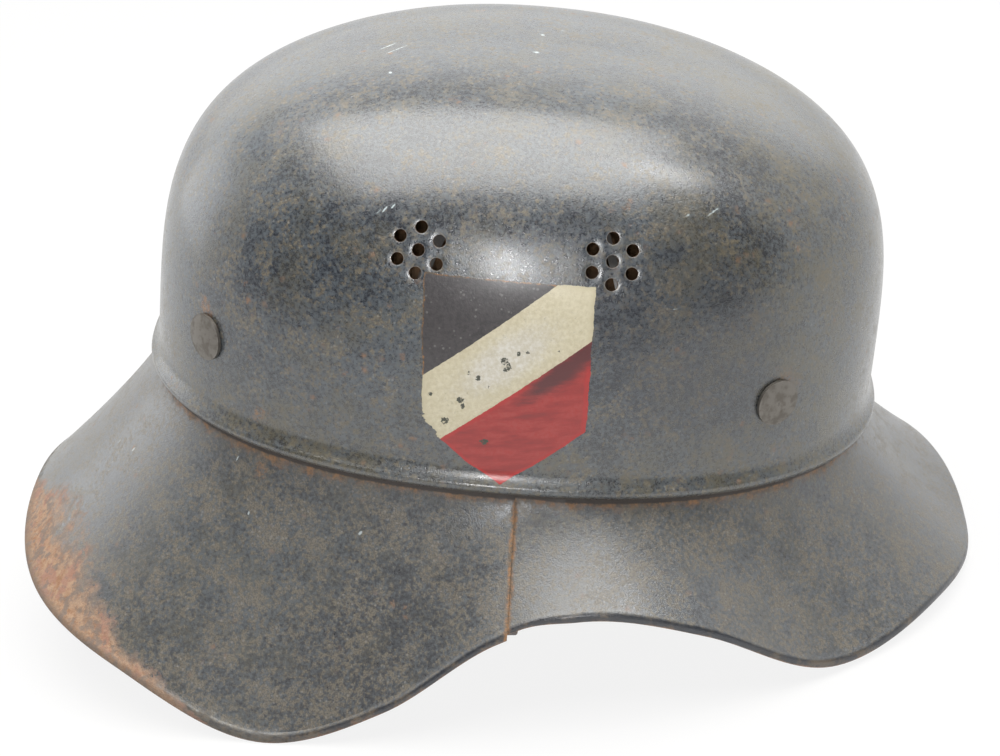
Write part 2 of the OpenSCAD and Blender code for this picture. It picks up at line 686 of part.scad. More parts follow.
module strap_loop() translate([0, eye_y, bar_z]) along_x(loop_d, strap_w);
module loop_hole() translate([0, eye_y, bar_z]) along_x(loop_bore, 2*strap_w);
stud_z = strap_top[2] - strap_fold/2 - 1;
module stud_hole() translate([0, eye_y, stud_z]) rotate(90) bore_x(3 + hole_gap, -9, 9);

module strap_long() {
    n = len(long_steps);
    total = cumulated(long_steps, n);
    widths = [for (i = [0:n]) tip_width(total - cumulated(long_steps, i))];
    thicks = [for (i = [0:n]) i < 3 ? 2*strap_t : strap_t];
    points = path_points(strap_top, long_steps);
    tail = points[n - len(tip_steps) - 2];
    color(leather) stand() difference() {
        union() {
            ribbon(strap_top, long_steps, widths, thicks);
            strap_loop();
        }
        loop_hole();
        stud_hole();
        for (i = [0:strap_holes - 1])
            translate(tail + [0, 6 + i*strap_hole_gap, 0]) rotate([0, -pitch, 0])
                cylinder(d = strap_hole_d, h = 4*strap_t, center = true, $fn = 24);
    }
}

// Buckle, drawn with its near bar along X through the origin, lying flat and reaching towards -Y
buckle_bore = buckle_wire_d + 2*wire_gap;
buckle_loop_d = buckle_bore + 2*strap_t;
short_points = path_points(strap_top, short_steps);
short_end = short_points[len(short_points) - 1];
buckle_at = short_end + [0, -buckle_loop_d/2 + 1.4, 0] + table_up*(buckle_loop_d - strap_t)/2;
buckle_h = short_h + (buckle_loop_d - strap_t)/2;
buckle_lean = asin((buckle_h - roller_d/2 - lie_gap)/buckle_l);
module at_buckle() translate(buckle_at) rotate([0, -pitch, 0]) children();
module on_buckle() at_buckle() rotate([buckle_lean, 0, 0]) children();
prong_w = 4;

module strap_short() {
    n = len(short_steps);
    thicks = [for (i = [0:n]) i < 3 ? 2*strap_t : strap_t];
    color(leather) stand() side(-1) difference() {
        union() {
            ribbon(strap_top, short_steps, [for (i = [0:n]) strap_w], thicks);
            strap_loop();
            at_buckle() {
                along_x(buckle_loop_d, strap_w);
                translate([-strap_w/2, 0, -buckle_loop_d/2])
                    cube([strap_w, short_fold + buckle_loop_d/2 - 1.4, 2*strap_t]);
            }
        }
        loop_hole();
        stud_hole();
        at_buckle() {
            along_x(buckle_bore, 2*strap_w);
            translate([-prong_w/2 - 0.5, -buckle_loop_d, -buckle_loop_d])
                cube([prong_w + 1, buckle_loop_d + 4, 2*buckle_loop_d]);
        }
    }
}

module buckle_frame() {
    w = buckle_w + buckle_wire_d;
    color(zinc) stand() side(-1) on_buckle() rotate([-90, 0, 0]) wire_loop(w, buckle_l, buckle_wire_d, 3);
}

module buckle_roller() {
    color(zinc) stand() side(-1) on_buckle() translate([0, -buckle_l, 0]) difference() {
        along_x(roller_d, buckle_w - 5);
        along_x(buckle_bore, buckle_w);
    }
}

module buckle_prong() {
    rise = roller_d/2 + pin_d/2 + 0.1;
    root = buckle_bore/2 + 0.9;
    reach = buckle_l + 1.5;
    lean = atan((rise - root + pin_d/2)/buckle_l);
    color(zinc) stand() side(-1) on_buckle() difference() {
        union() {
            along_x(2*root, prong_w);
            translate([0, 0, root - pin_d/2]) rotate([90 - lean, 0, 0])
                cylinder(d = pin_d, h = reach);
        }
        along_x(buckle_bore, 2*prong_w);
    }
}

// Keeper: a leather loop round the lying part of the short strap
module keeper() {
    in_w = strap_w + 0.8;
    in_t = strap_t + 2*keeper_room;
    mid = short_points[len(short_hang) + 1];
    color(leather) stand() side(-1) translate(mid) rotate([0, -pitch, 0])
        rotate([90, 0, 0]) linear_extrude(keeper_w, center = true) difference() {
            square([in_w + 2*keeper_t, in_t + 2*keeper_t], center = true);
            square([in_w, in_t], center = true);
        }
}

module stud(s) {
    grip = 2*strap_t + 0.1;
    color(zinc) stand() side(s) translate([0, eye_y + grip/2, stud_z]) rotate(90) {
        bore_x(3, -grip - eps, eps);
        rotate([0, 90, 0]) dome(stud_d, 1.4);
        translate([-grip, 0, 0]) rotate([0, -90, 0]) dome(stud_d, 1.4);
    }
}

crown();
visor();
neck_guard();
rivet(0);  // rivet_front_left
side(-1) rivet(0);  // rivet_front_right
rivet(1);  // rivet_rear_left
side(-1) rivet(1);  // rivet_rear_right
washer(0);  // washer_front_left
side(-1) washer(0);  // washer_front_right
washer(1);  // washer_rear_left
side(-1) washer(1);  // washer_rear_right
leaf_spring(0);  // spring_front_left
side(-1) leaf_spring(0);  // spring_front_right
leaf_spring(1);  // spring_rear_left
side(-1) leaf_spring(1);  // spring_rear_right
liner_band();
liner_leather();
leather_rivets();
bracket(1);  // bracket_left
bracket(-1);  // bracket_right
bracket_rivets();
bail(1);  // bail_left
bail(-1);  // bail_right
strap_long();
strap_short();
stud(1);  // stud_left
stud(-1);  // stud_right
keeper();
buckle_frame();
buckle_roller();
buckle_prong();
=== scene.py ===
# %% [markdown]
# # A civil defence helmet in pressed steel
# The helmet is three pressings: a crown with a rolled bead round its foot, a visor and a neck
# guard. A leather liner hangs inside on a sprung band, with a chin strap on two wire bails.
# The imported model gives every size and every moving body. This lesson gives it its looks:
# smooth sheet metal, leather with soft edges, and paint that has gone through many winters.

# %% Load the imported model
import json
import math

import bpy
import numpy as np
from mathutils import Matrix, Vector


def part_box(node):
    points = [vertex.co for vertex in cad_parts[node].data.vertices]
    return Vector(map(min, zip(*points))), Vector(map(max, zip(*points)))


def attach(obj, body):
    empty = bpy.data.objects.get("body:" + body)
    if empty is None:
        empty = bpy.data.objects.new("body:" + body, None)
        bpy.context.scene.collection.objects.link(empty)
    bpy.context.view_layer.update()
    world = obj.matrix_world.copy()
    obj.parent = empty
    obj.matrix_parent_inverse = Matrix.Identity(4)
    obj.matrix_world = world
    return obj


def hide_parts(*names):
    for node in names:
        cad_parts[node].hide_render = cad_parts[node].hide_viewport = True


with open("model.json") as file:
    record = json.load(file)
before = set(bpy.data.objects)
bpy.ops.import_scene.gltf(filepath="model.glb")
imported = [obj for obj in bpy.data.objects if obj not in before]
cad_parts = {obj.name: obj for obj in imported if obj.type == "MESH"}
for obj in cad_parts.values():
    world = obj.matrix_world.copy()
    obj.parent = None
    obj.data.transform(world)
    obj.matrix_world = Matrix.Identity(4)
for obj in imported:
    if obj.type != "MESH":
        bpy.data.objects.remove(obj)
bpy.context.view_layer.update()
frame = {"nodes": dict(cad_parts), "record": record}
nodes = frame["nodes"]

# %% [markdown]
# ## The sizes
# They are the ones the model was built with, in millimetres. The formulas are drawn with the
# bead level, and the helmet then leans forward on its brim, so one function stands points up.

# %% Sizes in millimetres
CROWN_HEIGHT = 110.7
CROWN_FRONT = 116.4
CROWN_REAR = 116.8
CROWN_SIDE = 93.1
CROWN_PLAN = 2.24
SHEET = 1.1
SEAT_GAP = 0.15
BEAD_RADIUS = 2.2
BEAD_OUT = 2.4
BEAD_TOP = 8.6
FLANGE = 12.0
PITCH = math.radians(9.72929)
SHIFT = np.array([10.3928, 0.0, 70.7157])


def stand(points):
    """Leans points forward by the pitch, lifts them onto the table, and gives metres."""
    x, y, z = np.moveaxis(np.asarray(points, float), -1, 0)
    c, s = math.cos(PITCH), math.sin(PITCH)
    leaned = np.stack([x * c + z * s, y, z * c - x * s], -1)
    return (leaned + SHIFT) / 1000


def unstand(points):
    """The way back: from metres on the table to millimetres with the bead level."""
    x, y, z = np.moveaxis(np.asarray(points, float) * 1000 - SHIFT, -1, 0)
    c, s = math.cos(PITCH), math.sin(PITCH)
    return np.stack([x * c - z * s, y, x * s + z * c], -1)


print("the bead's middle stands at", stand([0, 0, 0]).round(4))

# %% [markdown]
# ## From a grid to a mesh
# Every new surface is a grid of points, worked out as whole arrays. Neighbouring rows and
# columns share a quad, and a ring of points closes a sheet's end. Holes are cut by bars.

# %% Grid helpers


def grid_faces(rows, columns, wrap_rows=False, wrap_columns=False, first=0):
    """Quads between neighbouring rows and columns of points that are numbered row by row."""
    r = np.arange(rows if wrap_rows else rows - 1)
    c = np.arange(columns if wrap_columns else columns - 1)
    r, c = np.meshgrid(r, c, indexing="ij")
    r2, c2 = (r + 1) % rows, (c + 1) % columns
    quads = np.stack([r * columns + c, r * columns + c2, r2 * columns + c2, r2 * columns + c], -1)
    return quads.reshape(-1, 4) + first


def spaced(*runs):
    """Values that run from start to end in steps, for each (start, end, step), and the very last end."""
    parts = [np.linspace(p, q, max(1, round((q - p) / step)), endpoint=False) for p, q, step in runs]
    return np.concatenate(parts + [[runs[-1][1]]])


def smooth(t):
    """Goes from 0 to 1 with no corner at either end: t squared times (3 - 2t)."""
    t = np.clip(t, 0, 1)
    return t * t * (3 - 2 * t)


def unit(vectors):
    """Vectors of length 1."""
    return vectors / np.linalg.norm(vectors, axis=-1, keepdims=True)


def make_piece(name, points, faces, sharp=35):
    """Makes a mesh object of points in metres and faces, smooth but for edges sharper than the angle."""
    mesh = bpy.data.meshes.new(name)
    mesh.from_pydata(np.asarray(points, float).reshape(-1, 3), [], faces)
    mesh.validate()
    piece = bpy.data.objects.new(name, mesh)
    bpy.context.scene.collection.objects.link(piece)
    mesh.shade_smooth()
    mesh.set_sharp_from_angle(angle=math.radians(sharp))
    return piece


def place(piece, body, node):
    """Lets a piece ride on its body and stand for its CAD node, which it hides."""
    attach(piece, body)
    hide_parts(node)
    print(piece.name, "for", node, "on", body, "with", len(piece.data.polygons), "faces")


def points_of(piece):
    """All points of a piece's mesh as one array, in metres."""
    co = np.empty(len(piece.data.vertices) * 3, np.float32)
    piece.data.vertices.foreach_get("co", co)
    return co.reshape(-1, 3).astype(float)


def store(piece, name, values):
    """Keeps one number for each point, which a material can read by name."""
    attribute = piece.data.attributes.new(name, "FLOAT", "POINT")
    attribute.data.foreach_set("value", np.asarray(values, np.float32).ravel())


def settle(piece, kind, **settings):
    """Adds a modifier with its settings and applies it to the piece's mesh."""
    modifier = piece.modifiers.new(kind, kind)
    for key, value in settings.items():
        setattr(modifier, key, value)
    bpy.context.view_layer.update()
    done = bpy.data.meshes.new_from_object(piece.evaluated_get(bpy.context.evaluated_depsgraph_get()))
    piece.modifiers.clear()
    piece.data = done


def cut(piece, cutter, touches_itself=False):
    """Takes a cutter's shape out of a piece, and takes the cutter away."""
    settle(piece, "BOOLEAN", object=cutter, solver="EXACT", use_self=touches_itself)
    bpy.data.objects.remove(cutter)


def punch(piece, middles, ways, reach, radius, sides=24, touches_itself=False):
    """Round holes, in millimetres. Each is cut by a bar along its way, as far as the reach on either side
    of its middle: two circles square to the way, joined by quads, with end caps."""
    starts, ends = stand(middles - reach * ways), stand(middles + reach * ways)
    axis = unit(ends - starts)
    helper = np.where(np.abs(axis[:, 2:]) < 0.9, [[0, 0, 1.0]], [[1.0, 0, 0]])
    u = unit(np.cross(helper, axis))
    v = np.cross(axis, u)
    t = np.linspace(0, 2 * np.pi, sides, endpoint=False)
    circle = (u[:, None] * np.cos(t)[:, None] + v[:, None] * np.sin(t)[:, None]) * radius / 1000
    rings = np.stack([starts[:, None] + circle, ends[:, None] + circle], 1)
    faces = []
    for first in range(0, len(starts) * 2 * sides, 2 * sides):
        faces += grid_faces(2, sides, wrap_columns=True, first=first).tolist()
        faces.append(list(range(first + sides - 1, first - 1, -1)))
        faces.append(list(range(first + sides, first + 2 * sides)))
    cut(piece, make_piece("punch", rings, faces), touches_itself)


print("helpers ready")

# %% [markdown]
# ## The formulas of the shell
# Seen from above the crown is a superellipse, a little squarer than an ellipse. Its walls
# stand nearly upright and then roll over into the top, more so at the sides than at the ends.

# %% Shape formulas
WALL = (5.1, 4.6, 3.0)
TOP = (1.9, 2.0, 3.5)
SMALL_STEP = 1e-3


def blend(a, front, rear, sides):
    """The front or rear value at the ends, the sides' value between them, mixed by the sine squared."""
    w = np.sin(a) ** 2
    return np.where(np.cos(a) > 0, front, rear) * (1 - w) + sides * w


def oval(a, front, rear, side, power):
    """Superellipse: (|cos a / length| ^ power + |sin a / side| ^ power) ^ (-1 / power)."""
    length = np.where(np.cos(a) > 0, front, rear)
    total = (np.abs(np.cos(a)) / length) ** power + (np.abs(np.sin(a)) / side) ** power
    return total ** (-1 / power)


def plan(a, inset=0.0):
    """The crown's outline seen from above, at its foot."""
    return oval(a, CROWN_FRONT - inset, CROWN_REAR - inset, CROWN_SIDE - inset, CROWN_PLAN)


def crown_radius(a, z, inset=0.0):
    """The outline, drawn in with height by (1 - (z / height) ^ wall) ^ (1 / top)."""
    t = np.clip(z, 0, None) / (CROWN_HEIGHT - inset)
    return plan(a, inset) * (1 - t ** blend(a, *WALL)) ** (1 / blend(a, *TOP))


def crown_level(a, share, inset=0.0):
    """The formula turned round: at a share of the plan, height * (1 - share ^ top) ^ (1 / wall)."""
    return (CROWN_HEIGHT - inset) * (1 - share ** blend(a, *TOP)) ** (1 / blend(a, *WALL))


def round_to(a, r, z):
    """Points at an angle, a distance from the middle and a height."""
    a, r, z = np.broadcast_arrays(a, r, z)
    return np.stack([r * np.cos(a), r * np.sin(a), z], -1)


def crown_frame(a, z):
    """A point on the crown and its outward normal, from two short steps along and up the wall."""
    d = SMALL_STEP
    along = round_to(a + d, crown_radius(a + d, z), z) - round_to(a - d, crown_radius(a - d, z), z)
    up = round_to(a, crown_radius(a, z + d), z + d) - round_to(a, crown_radius(a, z - d), z - d)
    return round_to(a, crown_radius(a, z), z), unit(np.cross(along, up))


print("crown radius at the ear, half way up:", crown_radius(np.radians(90), 55.0).round(2), "mm")

# %% [markdown]
# ## The crown
# One closed skin: up the outside, over the top, and down the inside to the bead. Below a
# split the rows keep their height, so that they can lie closer where the vents are punched.
# Above it they keep their share of the radius, so that they close evenly on the top.

# %% Crown grid
SPLIT = 86.0
BEAD_BEGIN = 45
FLARE_OUT = BEAD_OUT - BEAD_RADIUS + BEAD_RADIUS * math.cos(math.radians(BEAD_BEGIN))
FLARE_LOW = BEAD_RADIUS * (1 + math.sin(math.radians(BEAD_BEGIN)))
BEAD_FOOT = [[-0.3, 0.0], [-0.77, 0.08], [-SHEET, 0.66], [-SHEET, 4.0], [-SHEET, 8.0]]


def crown_skin(a, heights, shares, inset):
    """Rows at fixed heights, then rows at fixed shares of the split's radius."""
    low = round_to(a[None, :], crown_radius(a[None, :], heights[:, None], inset), heights[:, None])
    r = shares[:, None] * crown_radius(a[None, :], np.array([[SPLIT - inset]]), inset)
    return np.concatenate([low, round_to(a[None, :], r, crown_level(a, r / plan(a, inset), inset))])


def bead_rows(a):
    """The bead in section, from the flare at its top to the bottom of the inner wall: a hollow flare
    that leaves the wall with the square of the depth, a half round, and a short step in."""
    t = np.linspace(0, 0.93, 9)
    flare = np.stack([FLARE_OUT * t * t, BEAD_TOP - (BEAD_TOP - FLARE_LOW) * t], -1)
    u = np.radians(np.linspace(BEAD_BEGIN, -90, 15))
    roll = np.stack([BEAD_OUT - BEAD_RADIUS + BEAD_RADIUS * np.cos(u), BEAD_RADIUS * (1 + np.sin(u))], -1)
    section = np.concatenate([flare, roll, BEAD_FOOT])
    return round_to(a[None, :], plan(a)[None, :] + section[:, :1], section[:, 1:])


half = spaced((0, 66, 1.5), (66, 80, 0.35), (80, 104, 1.2), (104, 118, 0.35), (118, 180, 1.5))
crown_angles = np.radians(np.concatenate([half, 360 - half[-2:0:-1]]))
outer = crown_skin(crown_angles, spaced((BEAD_TOP + 1.5, 64, 1.8), (64, 82, 0.7), (82, SPLIT, 1.3)),
                   np.linspace(1, 0, 52)[1:-1], 0.0)
inner = crown_skin(crown_angles, spaced((FLANGE, SPLIT - SHEET, 3.0)), np.linspace(1, 0, 30)[1:-1], SHEET)
rows = np.concatenate([outer[::-1], bead_rows(crown_angles), inner])
n_rows, n_columns = rows.shape[:2]
poles = [[0, 0, CROWN_HEIGHT], [0, 0, CROWN_HEIGHT - SHEET]]
ring = np.arange(n_columns)
following = np.roll(ring, -1)
last = (n_rows - 1) * n_columns
pole = np.full(n_columns, n_rows * n_columns)
crown_faces = grid_faces(n_rows, n_columns, wrap_columns=True)[:, ::-1].tolist()
crown_faces += np.stack([ring, following, pole], -1).tolist()
crown_faces += np.stack([last + following, last + ring, pole + 1], -1).tolist()
crown = make_piece("crown_shell", stand(np.concatenate([rows.reshape(-1, 3), poles])), crown_faces)
print("crown grid:", n_rows, "rows by", n_columns, "columns")

# %% [markdown]
# ## The vents
# Seven punched holes make each rosette: one in the middle and six round it. Bars cut them
# with a Boolean, square to the wall, as the punch went through. Afterwards each point learns
# its distance from the nearest hole's rim, and the rim is pressed in a little.

# %% Punch the vents
VENTS = ((72.8, 74.0), (110.7, 72.5))
VENT_RING = 6.8
VENT_RADIUS = 1.9
VENT_DEEP = 6.0
NO_VENT = 99
DISH_WIDTH = 1.3
DISH_DEPTH = 0.20
WITHIN = 0.6


def vent_axes():
    """Middle and outward way of each hole: the rosette's middle, plus six steps of 60 degrees round it."""
    points, normals = [], []
    for side in (-1, 1):
        for angle, height in VENTS:
            p, n = crown_frame(np.radians(side * angle), height)
            x = unit(np.cross([0, 0, 1], n))
            y = np.cross(n, x)
            turn = np.radians(90 + 60 * np.arange(6))[:, None]
            points += [p, *(p + VENT_RING * (np.cos(turn) * x + np.sin(turn) * y))]
            normals += [n] * 7
    return np.array(points), np.array(normals)


vent_points, vent_normals = vent_axes()
punch(crown, vent_points, vent_normals, 5, VENT_RADIUS, sides=32)
crown.data.set_sharp_from_angle(angle=math.radians(35))

crown_points = unstand(points_of(crown))
offset = crown_points[:, None] - vent_points[None]
depth = (offset * vent_normals).sum(-1)
away = np.linalg.norm(offset - depth[..., None] * vent_normals, axis=-1)
away = np.where(np.abs(depth) < VENT_DEEP, away, NO_VENT)
nearest = away.argmin(1)
rim = away.min(1) - VENT_RADIUS
on_outside = depth[np.arange(len(depth)), nearest] > -1.0
dish = DISH_DEPTH * np.clip(1 - rim / DISH_WIDTH, 0, 1) ** 2 * on_outside
crown_points -= vent_normals[nearest] * dish[:, None]
crown.data.vertices.foreach_set("co", stand(crown_points).astype(np.float32).ravel())
crown.data.update()
store(crown, "vent_gap", rim)
store(crown, "height", crown_points[:, 2])
reach = np.hypot(crown_points[:, 0], crown_points[:, 1])
crown_turn = np.arctan2(crown_points[:, 1], crown_points[:, 0])
behind_wall = reach < crown_radius(crown_turn, np.clip(crown_points[:, 2], 0, SPLIT)) - WITHIN
roof = crown_level(crown_turn, np.clip(reach / plan(crown_turn), 0, 1))
under_roof = crown_points[:, 2] < roof - WITHIN
store(crown, "inside", np.where(crown_points[:, 2] < SPLIT, behind_wall, under_roof))
place(crown, "shell", "crown")

# %% [markdown]
# ## The brim
# Visor and neck guard are one formula: a hollow flare that starts upright at the bead and
# runs out to a wavy edge, where it bends down into a hem. The wave is a smooth curve through
# the drops measured round the helmet. The visor steps in under the neck guard by one sheet.

# %% Brim formulas
DROP_ANGLES = np.array([0, 22, 42, 60, 76, 90, 105, 122, 142, 160, 180.0])
DROPS = np.array([45, 42, 50.5, 33.5, 28, 39, 66, 83.5, 72.5, 67.5, 61.5])
EDGE = (156.0, 159.0, 118.0)
EDGE_POWER_FRONT = 2.3
EDGE_POWER_REAR = 2.55
HOLLOW = (1.6, 1.25, 1.4)
HEM_HEIGHT = 3.6
HEM_RADIUS = 2.6
SEAM = 88.0
LAP_END = 95.0
STEP_UP = 1.3


def from_front(degrees):
    """How far an angle lies from the front on either side, in degrees from 0 to 180."""
    return np.abs((np.asarray(degrees, float) + 180) % 360 - 180)


def edge_drop(degrees):
    """Cubic Hermite curve through the drops, with slopes from the two neighbours, level at both ends."""
    b = from_front(degrees)
    slope = np.zeros(len(DROPS))
    slope[1:-1] = (DROPS[2:] - DROPS[:-2]) / (DROP_ANGLES[2:] - DROP_ANGLES[:-2])
    i = np.clip(np.searchsorted(DROP_ANGLES, b, side="right") - 1, 0, len(DROPS) - 2)
    width = DROP_ANGLES[i + 1] - DROP_ANGLES[i]
    t = (b - DROP_ANGLES[i]) / width
    level = (1 + 2 * t) * (1 - t) ** 2 * DROPS[i] + t * t * (3 - 2 * t) * DROPS[i + 1]
    return level + t * (1 - t) ** 2 * width * slope[i] + t * t * (t - 1) * width * slope[i + 1]


def brim_line(degrees, lift):
    """The brim in section as (radius, height): an upright flange, the flare neck + reach * s ^ hollow
    over a height that grows with s, a quarter round into the hem, and the hem down to its foot."""
    a = np.radians(degrees)[:, None]
    neck = plan(a, SHEET + SEAT_GAP)
    reach = np.where(np.cos(a) > 0, oval(a, *EDGE, EDGE_POWER_FRONT), oval(a, *EDGE, EDGE_POWER_REAR))
    fall = edge_drop(degrees)[:, None] - lift
    u = np.radians(np.linspace(25, 90, 8))[None, :]
    hem_r = reach - HEM_RADIUS * (1 - np.sin(u))
    hem_z = -fall + HEM_HEIGHT - HEM_RADIUS * (1 - np.cos(u))
    s = np.linspace(0, 1, 46)[None, :-1]
    flare_r = neck + (hem_r[:, :1] - neck) * s ** blend(a, *HOLLOW)
    flange_z = np.linspace(FLANGE, 2, 4)[None, :] + 0 * a
    r = np.concatenate([neck + 0 * flange_z, flare_r, hem_r, reach], 1)
    z = np.concatenate([flange_z, hem_z[:, :1] * s, hem_z, SHEET / 2 - fall], 1)
    return np.stack([r, z], -1)


def inset(line, depth):
    """Moves each section inwards, square to the line between each point's two neighbours."""
    ahead = np.concatenate([line[:, 1:], line[:, -1:]], 1)
    d = unit(ahead - np.concatenate([line[:, :1], line[:, :-1]], 1))
    normal = np.stack([-d[..., 1], d[..., 0]], -1)
    return line - normal * np.asarray(depth)[..., None, None]


def rust_width(degrees):
    """How far the rust reaches up from the edge, in mm: hardly at all but for the rear right corner."""
    b = degrees % 360
    corner = 33 * smooth((b - 176) / 20) * smooth((222 - b) / 24)
    tail = 8 * smooth((b - 200) / 10) * smooth((233 - b) / 12)
    return 1.0 + corner + tail


def rearward(degrees):
    """How much of the rear rim's dark wear an angle has, with more of it just past the middle."""
    return smooth((from_front(degrees) - 100) / 25) + 0.7 * np.exp(-((degrees - 188) / 16) ** 2)


def brim_piece(name, degrees, step_in, lift):
    """A closed sheet: the outer line, a half round at the foot, the inner line back up, and flat ends."""
    line = brim_line(degrees, lift)
    outside = inset(line, step_in)
    inside_line = inset(line, step_in + SHEET)
    middle = (outside[:, -1:] + inside_line[:, -1:]) / 2
    across = (outside[:, -1:] - inside_line[:, -1:]) / 2
    t = np.radians(np.array([30, 60, 90, 120, 150]))[None, :, None]
    foot = middle + across * np.cos(t) + np.array([0.0, -SHEET / 2]) * np.sin(t)
    section = np.concatenate([outside, foot, inside_line[:, ::-1]], 1)
    points = round_to(np.radians(degrees)[:, None], section[..., 0], section[..., 1])
    m, n = points.shape[:2]
    faces = grid_faces(m, n, wrap_columns=True)[:, ::-1].tolist()
    faces += [list(range(n)), list(range(m * n - 1, (m - 1) * n - 1, -1))]
    piece = make_piece(name, stand(points), faces)
    steps = np.linalg.norm(np.diff(section, axis=1), axis=-1)
    along = np.concatenate([np.zeros((m, 1)), np.cumsum(steps, 1)], 1)
    lowest = outside.shape[1] + 2
    edge = np.abs(along - along[:, lowest:lowest + 1])
    store(piece, "edge_gap", edge)
    store(piece, "bead_gap", np.abs(along - along[:, 4:5]) - (BEAD_OUT + SHEET + SEAT_GAP))
    store(piece, "seam_gap", np.radians(np.abs(from_front(degrees) - SEAM))[:, None] * section[..., 0])
    store(piece, "rust_zone", np.clip(1 - edge / rust_width(degrees)[:, None], 0, 1))
    store(piece, "rear", rearward(degrees)[:, None] + 0 * edge)
    store(piece, "inside", (np.arange(n) > lowest)[None, :] + 0 * edge)
    return piece


visor_angles = spaced((-LAP_END, -SEAM + 12, 0.5), (-SEAM + 12, SEAM - 12, 1.0), (SEAM - 12, LAP_END, 0.5))
neck_angles = spaced((SEAM, SEAM + 4, 0.5), (SEAM + 4, 356 - SEAM, 1.0), (356 - SEAM, 360 - SEAM, 0.5))
joggle = smooth((from_front(visor_angles) - (SEAM - 10)) / 8)
visor = brim_piece("visor_brim", visor_angles, (SHEET + SEAT_GAP) * joggle, STEP_UP * joggle[:, None])
neck = brim_piece("neck_brim", neck_angles, 0 * neck_angles, 0.0)
place(visor, "shell", "visor")
place(neck, "shell", "neck_guard")

# %% [markdown]
# ## The shield
# A thin transfer with three plain bands, black, cream and red, on the wearer's right. It is a
# patch of the crown's own surface, lifted by a tenth of a millimetre, so it has a real edge.
# Its outline runs between a left and a right edge that are given by height.

# %% Shield patch
SHIELD_LEFT = np.array([[3.8, -91.1], [8.9, -96.9], [16.4, -102.6], [22.9, -106.1], [36.0, -106.7],
                        [66.4, -108.7]])
SHIELD_RIGHT = np.array([[3.8, -91.1], [10.0, -85.3], [22.4, -76.3], [50.6, -76.4], [66.8, -76.0]])
SHIELD_LOW = 3.9
SHIELD_HIGH = 66.8
SHIELD_LIFT = 0.13
SHIELD_SUNK = 0.15
SHIELD_GRID = (250, 200)
BAND_SLOPE = np.array([0.634, -0.773])
BAND_START = np.array([-27.2, 36.0])
CREAM_WIDTH = 19.4
MM_PER_DEGREE = 1.6


def ripple(t, size, seed):
    """A small uneven wave: five sines of rising pitch whose phases come from the seed."""
    phase = np.random.default_rng(seed).uniform(0, 6.28, 5)
    waves = np.array([1.0, 2.7, 5.3, 11.0, 23.0])
    return size * (np.sin(t[..., None] * waves + phase) / waves ** 0.6).sum(-1) / 2


z_rows = np.linspace(SHIELD_LOW, SHIELD_HIGH, SHIELD_GRID[0])
torn = smooth((z_rows - 14) / 3) * smooth((27 - z_rows) / 3)
left = np.interp(z_rows, *SHIELD_LEFT.T) + ripple(z_rows * 0.35, 0.16, 3)
left += torn * ripple(z_rows * 1.3, 0.5, 8)
right = np.interp(z_rows, *SHIELD_RIGHT.T) + ripple(z_rows * 0.5, 0.14, 4)
wide = (right - left)[:, None]
share = np.linspace(0, 1, SHIELD_GRID[1])[None, :]
turn = np.radians(left[:, None] + wide * share)
high = z_rows[:, None] + 0 * turn
high = high + ripple(np.degrees(turn) * 0.9, 0.18, 5) * smooth((high - 60) / 6)
flare = np.clip((BEAD_TOP - high) / (BEAD_TOP - FLARE_LOW), 0, 1)
shield_r = np.where(high > BEAD_TOP, crown_radius(turn, high), plan(turn)) + FLARE_OUT * flare * flare
shield_base = round_to(turn, shield_r, high)
_, shield_normal = crown_frame(turn, high)
ahead = shield_base[..., 0]
band = (ahead - BAND_START[0]) * BAND_SLOPE[0] + (high - BAND_START[1]) * BAND_SLOPE[1]
print("shield:", SHIELD_GRID, "points, bands from", band.min().round(1), "to", band.max().round(1))

# %% Shield chips
CHIPS = np.array([[-13.5, 38.5, 0.35], [-10.8, 37.2, 0.45], [-7.5, 34.8, 0.3], [-3.6, 43.0, 0.9],
                  [-1.9, 41.6, 0.9], [-3.0, 40.6, 0.4], [0.6, 45.6, 0.4], [3.0, 46.2, 0.4],
                  [-15.6, 29.3, 0.9], [-14.8, 28.0, 0.6], [-19.6, 22.2, 1.1], [-24.4, 30.5, 0.4],
                  [-7.6, 16.8, 0.9], [12.5, 47.5, 0.15]])
gap = np.hypot(ahead[..., None] - CHIPS[:, 0], high[..., None] - CHIPS[:, 1]) - CHIPS[:, 2]
worn = gap.min(-1) + ripple(ahead * 1.7, 0.35, 6) + ripple(high * 1.9, 0.35, 7)
lift = SHIELD_LIFT * (0.25 + 0.75 * smooth(worn / 0.25 + 0.5))
numbers = np.arange(ahead.size).reshape(SHIELD_GRID)
border = np.concatenate([numbers[0], numbers[1:, -1], numbers[-1, -2::-1], numbers[-2:0:-1, 0]])
under = ahead.size + np.arange(len(border))
shield_faces = grid_faces(*SHIELD_GRID).tolist()
shield_faces += np.stack([border, under, np.roll(under, -1), np.roll(border, -1)], -1).tolist()
surface = shield_base + shield_normal * lift[..., None]
sunk = shield_base - shield_normal * SHIELD_SUNK
shield_points = np.concatenate([surface.reshape(-1, 3), sunk.reshape(-1, 3)[border]])
shield = make_piece("shield", stand(shield_points), shield_faces, sharp=60)
along_band = (ahead + 1.0) * 0.773 + (high - 41.0) * 0.634
smudge = np.exp(-((band - CREAM_WIDTH - 2.5) / 3.5) ** 2) * smooth((ahead + 2) / 14)
shield_values = {
    "band": band,
    "worn": worn,
    "rim_gap": np.minimum(np.minimum(share, 1 - share) * wide * MM_PER_DEGREE, SHIELD_HIGH - high),
    "pale": np.exp(-((along_band / 15) ** 2) - ((band - CREAM_WIDTH / 2) / 6) ** 2),
    "smudge": smudge * (band > CREAM_WIDTH - 1)}
for name, values in shield_values.items():
    store(shield, name, np.concatenate([values.ravel(), values.ravel()[border]]))
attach(shield, "shell")

